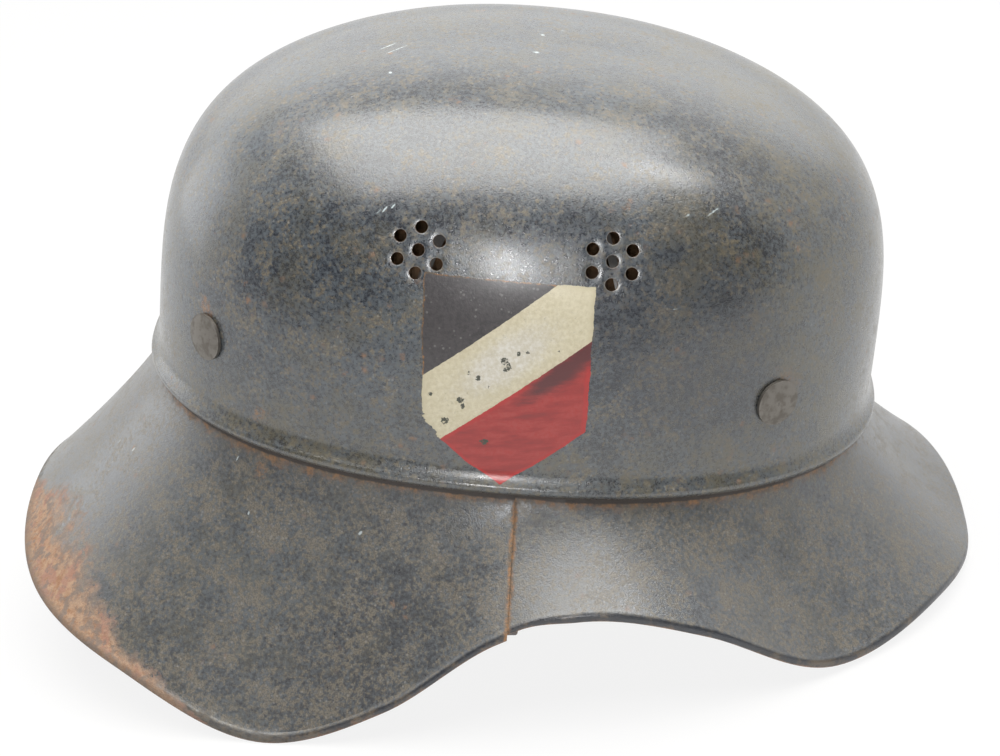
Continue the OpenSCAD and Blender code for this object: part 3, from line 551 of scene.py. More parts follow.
# %% [markdown]
# ## The liner leather
# Eight fingers rise from a skirt inside the band. Each finger is its own patch of the dome:
# its columns close in on its middle where the slit opens, and meet the next finger's below
# the slit's root. Solidify gives the leather its thickness, and Bevel softens the cut edges.

# %% Leather formulas
BAND_IN = 10.6
BAND_LOW = 17.0
BAND_HIGH = 39.0
LEATHER_IN = 0.95
LEATHER = 1.5
FINGERS = 8
FINGER_RISE = 46.0
FINGER_BEND = math.radians(74)
HOLE_RADIUS = 24.0
SLIT_IN = 8.0
SLIT = 1.5
TIP_GAP = 2 * math.pi * HOLE_RADIUS / FINGERS * 0.35 / 2
TIP_CORNER = 5
SAG = 1.2
LACE_IN = 8.0
LACE_RADIUS = 2.0


def leather_point(a, s):
    """Up the skirt for s from -1 to 0, then over the dome for s from 0 to 1: the radius falls with the
    cosine of the bend and the height rises with its sine."""
    r = plan(a, BAND_IN + LEATHER_IN)
    w = FINGER_BEND * np.clip(s, 0, 1)
    closed = 1 - math.cos(FINGER_BEND)
    dome_r = HOLE_RADIUS * (1 - np.cos(w)) / closed + r * (np.cos(w) - math.cos(FINGER_BEND)) / closed
    skirt = BAND_LOW - 1 + (BAND_HIGH - BAND_LOW + 1) * (1 + np.clip(s, -1, 0))
    dome_z = BAND_HIGH + FINGER_RISE * np.sin(w) / math.sin(FINGER_BEND)
    return round_to(a, np.where(s < 0, r, dome_r), np.where(s < 0, skirt, dome_z))


def slit_half(r, root):
    """Half the slit's width: a round root, then opening evenly to the tip, where the corners are round."""
    open_part = SLIT + (TIP_GAP - SLIT) * (root - r) / (root - HOLE_RADIUS)
    rounded = np.sqrt(np.clip(SLIT ** 2 - np.clip(r - root, 0, None) ** 2, 0, None))
    to_tip = np.clip((HOLE_RADIUS + TIP_CORNER - r) / TIP_CORNER, 0, 1)
    return np.where(r > root, rounded, open_part + 3.2 * (1 - np.sqrt(np.clip(1 - to_tip ** 2, 0, 1))))


finger_rows = np.concatenate([np.linspace(-1, 0, 12)[:-1], np.linspace(0, 0.45, 60)[:-1],
                              np.linspace(0.45, 1, 34)])
finger_columns = np.linspace(-1, 1, 21)[None, :]
finger_angles = 2 * math.pi * np.arange(FINGERS) / FINGERS
patches = []
for finger, middle in enumerate(finger_angles):
    edge_angle = middle + math.pi / FINGERS
    edge_r = np.hypot(*np.moveaxis(leather_point(edge_angle, finger_rows), -1, 0)[:2])
    half_gap = np.where(finger_rows > 0.02, slit_half(edge_r, plan(edge_angle, BAND_IN) - SLIT_IN), 0)
    wide = math.pi / FINGERS - np.arcsin(np.clip(half_gap / edge_r, 0, 0.99))
    a = middle + wide[:, None] * finger_columns
    s = finger_rows[:, None] + 0 * a
    points = leather_point(a, s)
    points[..., 2] -= SAG * smooth((s - 0.25) / 0.75) * finger_columns ** 2 * abs(math.cos(5 * finger))
    patches.append(points)
patches = np.array(patches)
shape = patches.shape[1:3]
leather_faces = [grid_faces(*shape, first=i * shape[0] * shape[1]) for i in range(FINGERS)]
leather = make_piece("liner_fingers", stand(patches), np.concatenate(leather_faces).tolist(), sharp=50)
print("leather patches:", patches.shape)

# %% Leather thickness, lace holes and soft edges
settle(leather, "WELD", merge_threshold=0.00002)
settle(leather, "SOLIDIFY", thickness=LEATHER / 1000, offset=-1)
punch(leather, round_to(finger_angles, HOLE_RADIUS + LACE_IN, 85.0), np.array([0, 0, 1.0]), 15, LACE_RADIUS)
settle(leather, "BEVEL", width=0.0003, segments=2, limit_method="ANGLE", angle_limit=math.radians(50))
leather.data.set_sharp_from_angle(angle=math.radians(60))
place(leather, "shell", "liner_leather")

# %% [markdown]
# ## The chin strap
# Each half is one ribbon of leather. It starts in the fold, runs up and round the bail's lower
# bar, and comes down again as the strap, which leans in, bends flat on the table, and on the
# long half curls back over itself. A path carries a section with rounded edges. The fold's two
# plies touch, so the holes are cut by the solver that allows a piece to touch itself.

# %% Ribbon along a path
EYE_Y = 80.95
BAR_Z = -4.7
BAR_WRAP = 2.7
STRAP_WIDTH = 16.0
STRAP = 2.0
FOLD = 17.0
HANG = 3.1
FOLD_EASE = 0.8
LEAN = math.radians(12)
SHORT_LEAN = math.radians(14.5)
BEND_RADIUS = 20.0
TABLE_Z = -71.7476
LIE_GAP = 0.25
TABLE_UP = np.array([-math.sin(PITCH), 0, math.cos(PITCH)])


def ribbon_piece(name, path, across, width, thickness, closed=False, rounding=0.75, spread=9):
    """Carries a rounded rectangle along a path. Its width lies along across and may change from point to
    point, its thickness lies square to both. Each point keeps its distance from the strap's side."""
    path = np.asarray(path, float)
    tangent = np.roll(path, -1, 0) - np.roll(path, 1, 0)
    if not closed:
        tangent[0] = path[1] - path[0]
        tangent[-1] = path[-1] - path[-2]
    up = unit(np.cross(tangent, across))
    c, s = (wave(np.radians(np.linspace(0, 90, 5))) for wave in (np.cos, np.sin))
    w = np.broadcast_to(np.asarray(width, float), len(path))[:, None] / 2
    h = thickness / 2
    e = min(rounding, h * 0.9)
    flat = np.linspace(1, -1, spread)[1:-1]
    top_x = np.concatenate([w - e + e * c, (w - e) * flat, -(w - e + e * c[::-1])], 1)
    top_y = np.concatenate([h - e + e * s, h + 0 * flat, h - e + e * s[::-1]])
    x = np.concatenate([top_x, -top_x], 1)
    y = np.concatenate([top_y, -top_y])
    points = path[:, None] + x[..., None] * across[:, None] + y[:, None] * up[:, None]
    m, n = points.shape[:2]
    faces = grid_faces(m, n, wrap_rows=closed, wrap_columns=True).tolist()
    if not closed:
        faces += [list(range(n - 1, -1, -1)), list(range((m - 1) * n, m * n))]
    piece = make_piece(name, stand(points), faces, sharp=50)
    store(piece, "side_gap", np.abs(x).max(1, keepdims=True) - np.abs(x))
    return piece


def heading(b):
    """Direction for a slope in radians: a quarter turn down, 0 inwards, and past it square to the table."""
    b = np.asarray(b)[..., None]
    upright = np.where(b < 0, [[0, 0, 1.0]], TABLE_UP)
    return np.cos(b) * np.array([0, -1.0, 0]) + np.sin(b) * upright


def width_direction(b):
    """The strap's width turns from the helmet's lean to the table as the strap turns flat."""
    lean = PITCH * smooth((b + math.pi / 2) / (math.pi / 2))
    return np.stack([np.cos(lean), 0 * lean, np.sin(lean)], -1)


def arc_steps(radius, slopes):
    """Steps of (length, slope) along a circle's arc, between neighbouring slopes."""
    return [(radius * abs(q - p), (p + q) / 2) for p, q in zip(slopes[:-1], slopes[1:])]


def fold_points():
    """The ply behind: from its cut end up to the bar, round it, and down to where the strap hangs on. The
    two plies lie 1 mm to either side of the middle and spread to the bar's radius near it."""
    z = np.linspace(-HANG - FOLD + 0.3, -0.6, 26)
    spread = 1.0 + 1.7 * smooth((z + 7.0) / 6.0)
    t = np.radians(np.linspace(168, 0, 17))
    y = np.concatenate([-spread, BAR_WRAP * np.cos(t), spread[::-1]])
    z = np.concatenate([z, BAR_WRAP * np.sin(t), z[::-1]])
    return np.stack([0 * y, EYE_Y + y, BAR_Z + z], -1)


def strap_path(height, tail, lean=LEAN):
    """The whole middle line of one half: the fold, the lean, the bend onto the table, and its tail of
    (length, slope) steps. Gives the points and the width's direction at each."""
    begin = fold_points()
    start = np.array([0, EYE_Y, BAR_Z - HANG - FOLD - FOLD_EASE])
    fall = start[2] - TABLE_Z - height / math.cos(PITCH) - BEND_RADIUS * (1 - math.sin(lean))
    slope = lean - math.pi / 2
    steps = [(fall / math.cos(lean) / 12, slope)] * 12
    steps += arc_steps(BEND_RADIUS, np.linspace(slope, 0, 15)) + tail
    lengths, slopes = np.array(steps).T
    hang = start + np.concatenate([np.zeros((1, 3)), np.cumsum(heading(slopes) * lengths[:, None], 0)])
    hang[:, 1] += 1 - smooth(np.arange(len(hang)) / 3.0)
    all_slopes = np.concatenate([np.full(len(begin), -math.pi / 2), slopes[:1], slopes])
    return np.concatenate([begin, hang]), width_direction(all_slopes)


print("ribbon helpers ready")

# %% The long strap half
LONG_HEIGHT = LIE_GAP + STRAP / 2
CURL_RADIUS = 12
TIP_LENGTH = 14
long_tail = [(2.0, 0.0)] * 13 + arc_steps(CURL_RADIUS, np.radians(np.linspace(0, 180, 31)))
long_tail += [(2.0, math.pi)] * 14 + [(1.0, math.pi)] * 14
long_path, long_across = strap_path(LONG_HEIGHT, long_tail)
left_over = np.concatenate([np.cumsum(np.linalg.norm(np.diff(long_path, axis=0), axis=1)[::-1])[::-1], [0]])
to_tip = np.clip(1 - (1 - left_over / TIP_LENGTH) ** 2, 0, 1)
tip = np.where(left_over < TIP_LENGTH, 0.35 + 0.65 * np.sqrt(to_tip), 1)
strap_long = ribbon_piece("chin_strap_long", long_path, long_across, STRAP_WIDTH * tip, STRAP)
hole_at = long_path[-29] + np.array([[0, 6 + 9 * i, 0] for i in range(3)])
punch(strap_long, hole_at, TABLE_UP, 5, 1.5, touches_itself=True)
place(strap_long, "strap_long", "strap_long")

# %% The short strap half
BUCKLE_Y = 25.9283
BUCKLE_UP = 2.5
KEEPER = 1.2
KEEPER_GAP = 0.3
SHORT_HEIGHT = LONG_HEIGHT + KEEPER + KEEPER_GAP
SLOT_HALF = np.array([2.4, 5.6, 8])
short_path, short_across = strap_path(SHORT_HEIGHT, [(2.0, 0.0)] * 13, SHORT_LEAN)
lie = short_path[-1]


def over_strap(y, up):
    """Points above the middle of the lying strap, at distances y from the helmet's middle."""
    return np.stack([lie[0] + 0 * y, y, lie[2] + 0 * y], -1) + np.outer(up, TABLE_UP)


t = np.radians(np.linspace(-90, 90, 14))
wrap = over_strap(BUCKLE_Y - BUCKLE_UP * np.cos(t), BUCKLE_UP + BUCKLE_UP * np.sin(t))
back_y = np.linspace(BUCKLE_Y + 1, BUCKLE_Y + 12.0, 12)
back = over_strap(back_y, 5.0 - 2.9 * smooth((back_y - BUCKLE_Y) / 6.0))
lying = (short_path[:, 1] > BUCKLE_Y + 1.0) | (short_path[:, 2] > BAR_Z - 60)
short_line = np.concatenate([short_path[lying], wrap, back])
short_width = np.concatenate([short_across[lying], np.repeat(short_across[-1:], len(wrap) + len(back), 0)])
short_line[:, 1] *= -1
strap_short = ribbon_piece("chin_strap_short", short_line[::-1], short_width[::-1], STRAP_WIDTH, STRAP)
slot_corners = SLOT_HALF * np.array([[x, y, z] for z in (-1, 1) for y in (-1, 1) for x in (-1, 1)])
slot_axes = np.array([short_across[-1], [0, 1, 0], TABLE_UP])
slot_middle = np.array([lie[0], -BUCKLE_Y, lie[2]]) + TABLE_UP * BUCKLE_UP
slot_faces = [[0, 2, 3, 1], [4, 5, 7, 6], [0, 1, 5, 4], [2, 6, 7, 3], [0, 4, 6, 2], [1, 3, 7, 5]]
slot_cutter = make_piece("prong_slot", stand(slot_middle + slot_corners @ slot_axes), slot_faces)
cut(strap_short, slot_cutter, touches_itself=True)
place(strap_short, "strap_short", "strap_short")

# %% Keeper loop
KEEPER_HALF_WIDTH = 9.0
KEEPER_HALF_HEIGHT = 1.9
KEEPER_WIDTH = 7.0
KEEPER_POWER = 0.32
keeper_middle = sum(unstand(np.array(c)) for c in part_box("keeper")) / 2
t = np.linspace(0, 2 * np.pi, 96, endpoint=False)
loop_x, loop_z = (np.sign(v) * np.abs(v) ** KEEPER_POWER for v in (np.cos(t), np.sin(t)))
keeper_path = keeper_middle + np.outer(KEEPER_HALF_WIDTH * loop_x, short_across[-1]) \
    + np.outer(KEEPER_HALF_HEIGHT * loop_z, TABLE_UP)
keeper_across = np.repeat([[0, 1.0, 0]], len(t), 0)
keeper = ribbon_piece("keeper_loop", keeper_path, keeper_across, KEEPER_WIDTH, KEEPER, closed=True,
                      rounding=0.4)
place(keeper, "keeper", "keeper")

# %% [markdown]
# ## Nodes by hand
# A material is a small network of nodes. A value is what one node puts out. Values can be
# added and multiplied like numbers, which makes the nodes for it, and short helpers make
# soft-edged masks and lay colours over each other. Places are Object coordinates, so a
# pattern keeps its size on every piece.

# %% Node helpers


class Value:
    """What a node puts out. Sums, differences and products of values add their own nodes to its tree."""

    def __init__(self, socket):
        self.socket = socket

    def __add__(self, other):
        return put("Math", {0: self, 1: other}, operation="ADD")

    def __sub__(self, other):
        return put("Math", {0: self, 1: other}, operation="SUBTRACT")

    def __rsub__(self, other):
        return put("Math", {0: other, 1: self}, operation="SUBTRACT")

    def __mul__(self, other):
        return put("Math", {0: self, 1: other}, operation="MULTIPLY")

    __radd__ = __add__
    __rmul__ = __mul__


def fill(inputs, filling):
    """Fills inputs by name or number, with plain values or with what other nodes put out."""
    for key, value in filling.items():
        if isinstance(value, Value):
            inputs[key].id_data.links.new(value.socket, inputs[key])
        else:
            inputs[key].default_value = value


def node(tree, kind, filling=(), **settings):
    """Adds a shader node to a tree and fills its inputs. Gives its outputs by name."""
    made = tree.nodes.new("ShaderNode" + kind)
    for key, value in settings.items():
        setattr(made, key, value)
    fill(made.inputs, dict(filling))
    return {out.name: Value(out) for out in made.outputs if out.enabled}


def put(kind, filling, out=None, **settings):
    """Adds a node to the tree that its inputs come from. Gives its first output, or the one of a name."""
    tree = next(v.socket.id_data for v in filling.values() if isinstance(v, Value))
    outputs = node(tree, kind, filling, **settings)
    return outputs[out] if out else next(iter(outputs.values()))


def either(*values):
    """The largest of all values."""
    most = values[0]
    for value in values[1:]:
        most = put("Math", {0: most, 1: value}, operation="MAXIMUM")
    return most


def mask(value, low, high):
    """0 below low and 1 above high, with a soft passage between. The other way round if high is lower."""
    filling = {"Value": value, "From Min": low, "From Max": high}
    return put("MapRange", filling, interpolation_type="SMOOTHSTEP")


def between(low, high, amount):
    """A value that goes from low to high as the amount goes from 0 to 1."""
    return put("Mix", {0: amount, 2: low, 3: high}, data_type="FLOAT")


def layer(below, *above):
    """Colours laid over one another in turn, as (colour, amount) pairs with amounts from 0 to 1."""
    for tint, amount in above:
        below = put("Mix", {0: amount, 6: below, 7: tint}, data_type="RGBA")
    return below


def colour(*rgb):
    """A colour in the linear values that shaders use."""
    return (*rgb, 1.0)


def noise(place_in, size_mm, detail, rough):
    """Cloudy noise round 0.5 with blotches about size_mm across, for a place in metres."""
    filling = {"Vector": place_in, "Scale": 1000 / size_mm, "Detail": detail, "Roughness": rough}
    return put("TexNoise", filling)


def cells(place_in, size_mm):
    """Distance from the middle of the nearest of scattered cells, in shares of their size."""
    return put("TexVoronoi", {"Vector": place_in, "Scale": 1000 / size_mm}, "Distance")


def kept(tree, *names):
    """The numbers that a piece's points keep under these names."""
    return [node(tree, "Attribute", attribute_name=name)["Fac"] for name in names]


def new_group(name, **inputs):
    """An empty node group with named input sockets. Gives the group and its inputs."""
    group = bpy.data.node_groups.new(name, "ShaderNodeTree")
    for label, kind in inputs.items():
        group.interface.new_socket(label, in_out="INPUT", socket_type="NodeSocket" + kind)
    enter = group.nodes.new("NodeGroupInput")
    return group, [Value(enter.outputs[label]) for label in inputs]


def give_out(group, masks):
    """Lets a group put out its masks by name."""
    for label in masks:
        group.interface.new_socket(label, in_out="OUTPUT", socket_type="NodeSocketFloat")
    fill(group.nodes.new("NodeGroupOutput").inputs, masks)


def new_material(name):
    """A material with only its Principled shader. Gives the material, its tree and that shader."""
    made = bpy.data.materials.new(name)
    made.use_nodes = True
    return made, made.node_tree, made.node_tree.nodes["Principled BSDF"]


def finish_surface(shader, tint, rough, height, relief_mm, **others):
    """Fills in a shader's colour, roughness, relief (the height of 1, in mm) and others by name."""
    bump = put("Bump", {"Height": height, "Distance": relief_mm / 1000, "Strength": 1.0})
    fill(shader.inputs, {"Base Color": tint, "Roughness": rough, "Normal": bump})
    fill(shader.inputs, {key.replace("_", " "): value for key, value in others.items()})


def dress(piece, material):
    """Gives all of a piece one material, through the slots of its object."""
    if not piece.material_slots:
        piece.data.materials.append(material)
    for slot in piece.material_slots:
        slot.material = material


print("node helpers ready")

# %% [markdown]
# ## Many winters
# Every painted sheet has the same wear: rust freckles that gather in clumps, a few orange
# spots, fine grain, and thin scratches. They are one node group that puts out masks only, and
# each material decides what colour, gloss and depth a mask means on it.

# %% Wear group


def make_wear():
    """Tone, haze and freckles are finer noise pushed up by noise of clump size and of hand size. Spots
    and dots are the middles of scattered cells, and scratches of cells that are stretched six-fold; each
    is kept only where a coarser noise is high."""
    group, (at, amount) = new_group("wear", Place="Vector", Amount="Float")
    fine = noise(at, 1.5, 4.0, 0.68)
    clump = noise(at, 9.0, 3.0, 0.65)
    cloud = noise(at, 60.0, 1.0, 0.5)
    speckle = noise(at, 1.15, 3.0, 0.65)
    hazy = noise(at, 16.0, 5.0, 0.72)
    sparse = noise(at, 24.0, 1.0, 0.5)
    stretched = put("Mapping", {"Vector": at, "Rotation": (0.2, 0.9, 0.6), "Scale": (0.16, 1.0, 1.0)})
    give_out(group, {
        "Tone": mask(speckle + 0.35 * clump + 0.35 * cloud, 0.62, 1.06),
        "Haze": mask(hazy + 0.5 * fine + 0.2 * cloud, 0.78, 1.02),
        "Freckle": mask(fine + 0.6 * clump + 0.5 * amount, 1.06, 1.22),
        "Spot": mask(cells(at, 6.0) + 0.8 * fine, 0.62, 0.40) * mask(sparse, 0.52, 0.64),
        "Dot": mask(cells(at, 1.9), 0.25, 0.14) * mask(clump, 0.46, 0.58),
        "Grain": noise(at, 0.5, 1.0, 0.6),
        "Scratch": mask(cells(stretched, 3.2) + 0.15 * fine, 0.155, 0.11) * mask(clump, 0.60, 0.68),
        "Cloud": cloud,
        "Fine": fine})
    return group


wear = make_wear()


def wear_masks(tree, amount):
    """Puts the wear group into a material and gives the place that it is read at and its masks."""
    at = node(tree, "TexCoord")["Object"]
    return at, node(tree, "Group", {"Place": at, "Amount": amount}, node_tree=wear)


print("wear group with", len(wear.nodes), "nodes")

# %% [markdown]
# ## This helmet's own marks
# The most striking scratches and stains have places of their own. Each one is a long or round
# drop in space, from one point to another, and where the shell passes through it, it shows.
# One wide drop beside the shield is painted shade: it darkens the paint on that side with blue-black.

# %% Own marks
SCRATCHES = (((51, -71, 84.4), (56, -67, 87.2), 0.30), ((46, -72, 85.4), (47.4, -71, 86.0), 0.35),
             ((-43, -76, 80), (-41, -75.4, 83), 0.25), ((-41, -76, 80.4), (-39, -75.4, 83.6), 0.25),
             ((-39, -76, 81), (-37.4, -75, 84), 0.25), ((-37, -76, 81), (-36, -75, 83.4), 0.22),
             ((-44.6, -76, 79.6), (-43, -75.4, 81.4), 0.22), ((-49, -11, 105.9), (-41, -3, 107.4), 0.35),
             ((-51, -6, 105.9), (-45, 0, 107), 0.30), ((-45, -27, 105.6), (-45.4, -26, 106.2), 0.6),
             ((-105, -33, 66), (-101, -37, 71), 0.30), ((-103, -36, 67), (-99, -39, 72), 0.35),
             ((-126, -31, -26.3), (-125, -31, -25.4), 0.5), ((-120, -41, -23.4), (-119, -41, -22.6), 0.45),
             ((-83.4, -71, -8.6), (-82.8, -71, -6.6), 0.3), ((-78, -80, -21.8), (-78, -80, -21), 0.4),
             ((-43, -91.6, -18.8), (-42.6, -91.6, -18.2), 0.5), ((0, 7.6, 110.6), (0.5, 7.6, 110.6), 0.6),
             ((-2, -9.4, 110.6), (-1, -9.4, 110.6), 0.7))
STAINS = (((-75, -76, -8.6), (-75, -76, -7), 2.2), ((-69, -79, -4), (-67, -79, -2.4), 2.2),
          ((-78, -75, 10), (-75, -75, 11), 2.4), ((81, -71.5, 36.5), (85, -69, 33), 3.0),
          ((-97, -58, 38.5), (-95, -58, 36), 2.4), ((28, -74.6, 88), (29, -74.4, 88), 1.0),
          ((-22, 31, 108.9), (-20, 32, 108.9), 1.4))
# Painted shade: one long drop on the crown's side in front of the shield, darkened with blue-black.
PAINTED_SHADE_PLACE = (((34, -78, 66), (74, -72, 26), 34.0),)


def drops(place_in, marks, ragged, full, none):
    """The strongest of many drops at a place. A drop's level is (along / half length)^2 + (across /
    width)^2 plus something ragged; it shows fully below the level full, and not above the level none."""
    found = []
    for begin, end, width in marks:
        begin, end = stand(begin), stand(end)
        half = np.linalg.norm(end - begin) / 2 + width / 1000
        offset = put("VectorMath", {0: place_in, 1: (begin + end) / 2}, operation="SUBTRACT")
        along = put("VectorMath", {0: offset, 1: unit(end - begin)}, "Value", operation="DOT_PRODUCT")
        square = put("VectorMath", {0: offset, 1: offset}, "Value", operation="DOT_PRODUCT")
        across_share = (1000 / width) ** 2
        level = square * across_share + along * along * (half ** -2 - across_share)
        found.append(mask(level + ragged, none, full))
    return either(*found)


own_marks, (own_place,) = new_group("own_marks", Place="Vector")
own_rough = noise(own_place, 1.2, 3.0, 0.7)
give_out(own_marks, {"Scratch": drops(own_place, SCRATCHES, 3 * own_rough, 1.6, 2.8),
                     "Stain": drops(own_place, STAINS, 7 * own_rough, 2.6, 5.0)})
print("own marks:", len(SCRATCHES) + len(STAINS), "in", len(own_marks.nodes), "nodes")

# %% [markdown]
# ## Paint
# The coat was a blue-black satin. It has dulled to grey where it is rubbed, and olive-brown
# rust freckles come through it. Rust is rough and stands up a little, and paint keeps its
# gloss, so both the roughness and the relief follow the same masks as the colour.

# %% Paint colours
BLUE_BLACK = colour(0.011, 0.014, 0.023)
GREY_BLUE = colour(0.088, 0.105, 0.120)
OLIVE = colour(0.100, 0.088, 0.055)
TAN = colour(0.200, 0.165, 0.105)
BROWN = colour(0.095, 0.070, 0.045)
PALE = colour(0.33, 0.33, 0.31)
ORANGE = colour(0.34, 0.155, 0.045)
RUST = colour(0.27, 0.125, 0.055)
RUST_PALE = colour(0.40, 0.26, 0.165)
RUST_GREY = colour(0.150, 0.122, 0.105)
RUST_PINK = colour(0.300, 0.150, 0.110)
# Dark rust, also laid under the bead and in the crease below it as painted shade.
DARK_RUST_AND_SHADE = colour(0.030, 0.019, 0.013)
RIM_BROWN = colour(0.120, 0.096, 0.068)
STEEL_PALE = colour(0.42, 0.40, 0.37)
PRIMER = colour(0.075, 0.078, 0.062)
SCRATCH = colour(0.50, 0.58, 0.60)
PALE_GREY_VEIL = colour(0.128, 0.126, 0.122)
PAINT_RELIEF_MM = 0.07


def painted(tree, amount):
    """The paint itself: dark blue, greyed in clouds and tinged with olive, then freckles, spots and dots,
    the helmet's own stains and all scratches. Gives the place, masks, colour, roughness and height."""
    at, m = wear_masks(tree, amount)
    own = node(tree, "Group", {"Place": at}, node_tree=own_marks)
    brown = layer(TAN, (BROWN, mask(m["Grain"], 0.42, 0.62)))
    tint = layer(BLUE_BLACK, (GREY_BLUE, m["Tone"]), (OLIVE, 0.4 * m["Haze"]), (brown, 0.7 * m["Freckle"]),
                 (ORANGE, 0.5 * m["Spot"]), (PALE, 0.3 * m["Dot"]),
                 (ORANGE, own["Stain"] * between(0.75, 0.25, m["Tone"])),
                 (SCRATCH, either(0.5 * m["Scratch"], own["Scratch"])))
    rough = 0.17 + 0.10 * m["Freckle"] + 0.08 * m["Tone"] + 0.20 * m["Spot"] + 0.16 * m["Grain"]
    return at, m, tint, rough, m["Fine"] + 1.1 * m["Grain"]


# %% Crown paint


def crown_paint():
    """Paint, with painted shade in one place of the side, more olive low down and in front, pale worn lips
    and rusty walls at the vents, painted shade in a dark rust colour under the bead, and dull rust inside."""
    made, tree, shader = new_material("crown_paint")
    at, m, tint, rough, height = painted(tree, 0.5)
    level, gap, inside = kept(tree, "height", "vent_gap", "inside")
    forward = put("SeparateXYZ", {"Vector": at}, "X")
    greened = either(mask(level, 38.0, 8.0), mask(forward, 0.04, 0.11))
    # Painted shade: blue-black laid over the side in front of the shield.
    tint = layer(tint, (BLUE_BLACK, 0.4 * drops(at, PAINTED_SHADE_PLACE, m["Cloud"], 0.5, 1.6)),
                 (OLIVE, greened * between(0.15, 0.55, m["Haze"])),
                 (STEEL_PALE, 0.3 * mask(gap + 0.5 * m["Grain"], 0.62, 0.32)),
                 (layer(DARK_RUST_AND_SHADE, (RUST, m["Grain"])), mask(gap, 0.06, 0.01)),
                 # Painted shade: the underside of the bead is darkened with the dark rust colour.
                 (DARK_RUST_AND_SHADE, mask(level, 1.6, 0.1) * (1 - inside)),
                 (layer(BROWN, (DARK_RUST_AND_SHADE, m["Tone"])), 0.9 * inside))
    lacquer = between(0.4, 0.2, m["Freckle"]) * (1 - inside)
    rough = between(rough, 0.7, inside)
    finish_surface(shader, tint, rough, height, PAINT_RELIEF_MM, Coat_Weight=lacquer, Coat_Roughness=0.17,
                   IOR=1.8)
    return made


dress(crown, crown_paint())

# %% Brim paint


def brim_paint():
    """Paint under a pale grey veil, with rust and a line of painted shade in the crease under the bead,
    rust out of the seam, a hem darkened with painted shade and chipped brown, a brown foot, and the flaky
    rust of the rear rim."""
    made, tree, shader = new_material("brim_paint")
    at, m, tint, rough, height = painted(tree, 0.62)
    edge, gap, seam_gap = kept(tree, "edge_gap", "bead_gap", "seam_gap")
    rear, zone, inside = kept(tree, "rear", "rust_zone", "inside")
    ragged = noise(at, 4.0, 4.0, 0.65)
    flake = noise(at, 2.2, 5.0, 0.72)
    wide = noise(at, 13.0, 5.0, 0.7)
    # Painted shade: the turned-down hem is laid over with blue-black, with real brown wear in wide patches.
    hem = layer(BLUE_BLACK, (BROWN, mask(wide, 0.5, 0.62)))
    foot = mask(edge + (ragged - 0.5) * between(2.4, 11.0, rear) - 2.6 * rear, 1.8, -1.2)
    rim_colour = layer(RIM_BROWN, (DARK_RUST_AND_SHADE, 0.8 * mask(flake, 0.42, 0.70)), (GREY_BLUE, 0.4 * m["Tone"]))
    worn_foot = layer(BLUE_BLACK, (layer(BROWN, (RUST, mask(flake, 0.42, 0.62))), mask(wide, 0.44, 0.54)),
                      (rim_colour, mask(rear, 0.0, 1.0)))
    crease = mask(gap + 9 * ragged, 6.0, 2.6)
    dusty = either(0.7 * crease, 0.8 * mask(seam_gap + 3 * ragged, 2.9, 1.7))
    level = zone + 1.7 * wide + 0.8 * ragged + 0.4 * flake
    fray_in = zone * between(4.0, 26.0, mask(flake, 0.36, 0.60))
    heavy = mask(put("Math", {0: level, 1: fray_in}, operation="MINIMUM"), 1.50, 2.1)
    crust = layer(RUST, (RUST_PALE, mask(flake, 0.30, 0.66)), (RUST_PINK, 0.7 * mask(wide, 0.52, 0.60)),
                  (RUST_GREY, 0.8 * mask(ragged, 0.46, 0.62)))
    # A pale grey veil lightens the whole brim evenly.
    tint = layer(tint, (PALE_GREY_VEIL, 0.32), (hem, 0.85 * mask(edge + 1.6 * ragged, 4.4, 3.4)), (worn_foot, foot),
                 (layer(BROWN, (ORANGE, mask(flake, 0.38, 0.62))), dusty),
                 # Painted shade: the crease right under the bead is darkened with the dark rust colour.
                 (DARK_RUST_AND_SHADE, mask(gap + 0.8 * flake, -0.6, -1.2)), (crust, heavy),
                 (rim_colour, 0.5 * foot * heavy), (layer(BROWN, (DARK_RUST_AND_SHADE, m["Tone"])), 0.7 * inside))
    rusty = either(dusty, foot, heavy)
    lacquer = between(0.3, 0.1, m["Freckle"]) * (1 - either(rusty, inside))
    rough = between(rough + 0.05, 0.8, rusty)
    height = height + 5 * flake * zone
    finish_surface(shader, tint, rough, height, PAINT_RELIEF_MM, Coat_Weight=lacquer, Coat_Roughness=0.25,
                   IOR=1.75)
    return made


brim = brim_paint()
dress(visor, brim)
dress(neck, brim)

# %% [markdown]
# ## The shield's three colours
# The transfer is printed, so its colours meet in sharp lines, and a lacquer lies over them.
# It has yellowed at its rims and flaked in small chips that show the grey primer.

# %% Shield paint
PRINT_BLACK = colour(0.037, 0.033, 0.036)
CREAM = colour(0.62, 0.57, 0.425)
CREAM_LIGHT = colour(0.66, 0.64, 0.59)
CREAM_YELLOW = colour(0.42, 0.36, 0.215)
RED = colour(0.36, 0.020, 0.016)
RED_DARK = colour(0.085, 0.018, 0.020)
RED_PINK = colour(0.36, 0.060, 0.052)
RED_FRESH = colour(0.42, 0.016, 0.014)
SCUFF = colour(0.13, 0.12, 0.12)
PRINT_RELIEF_MM = 0.06


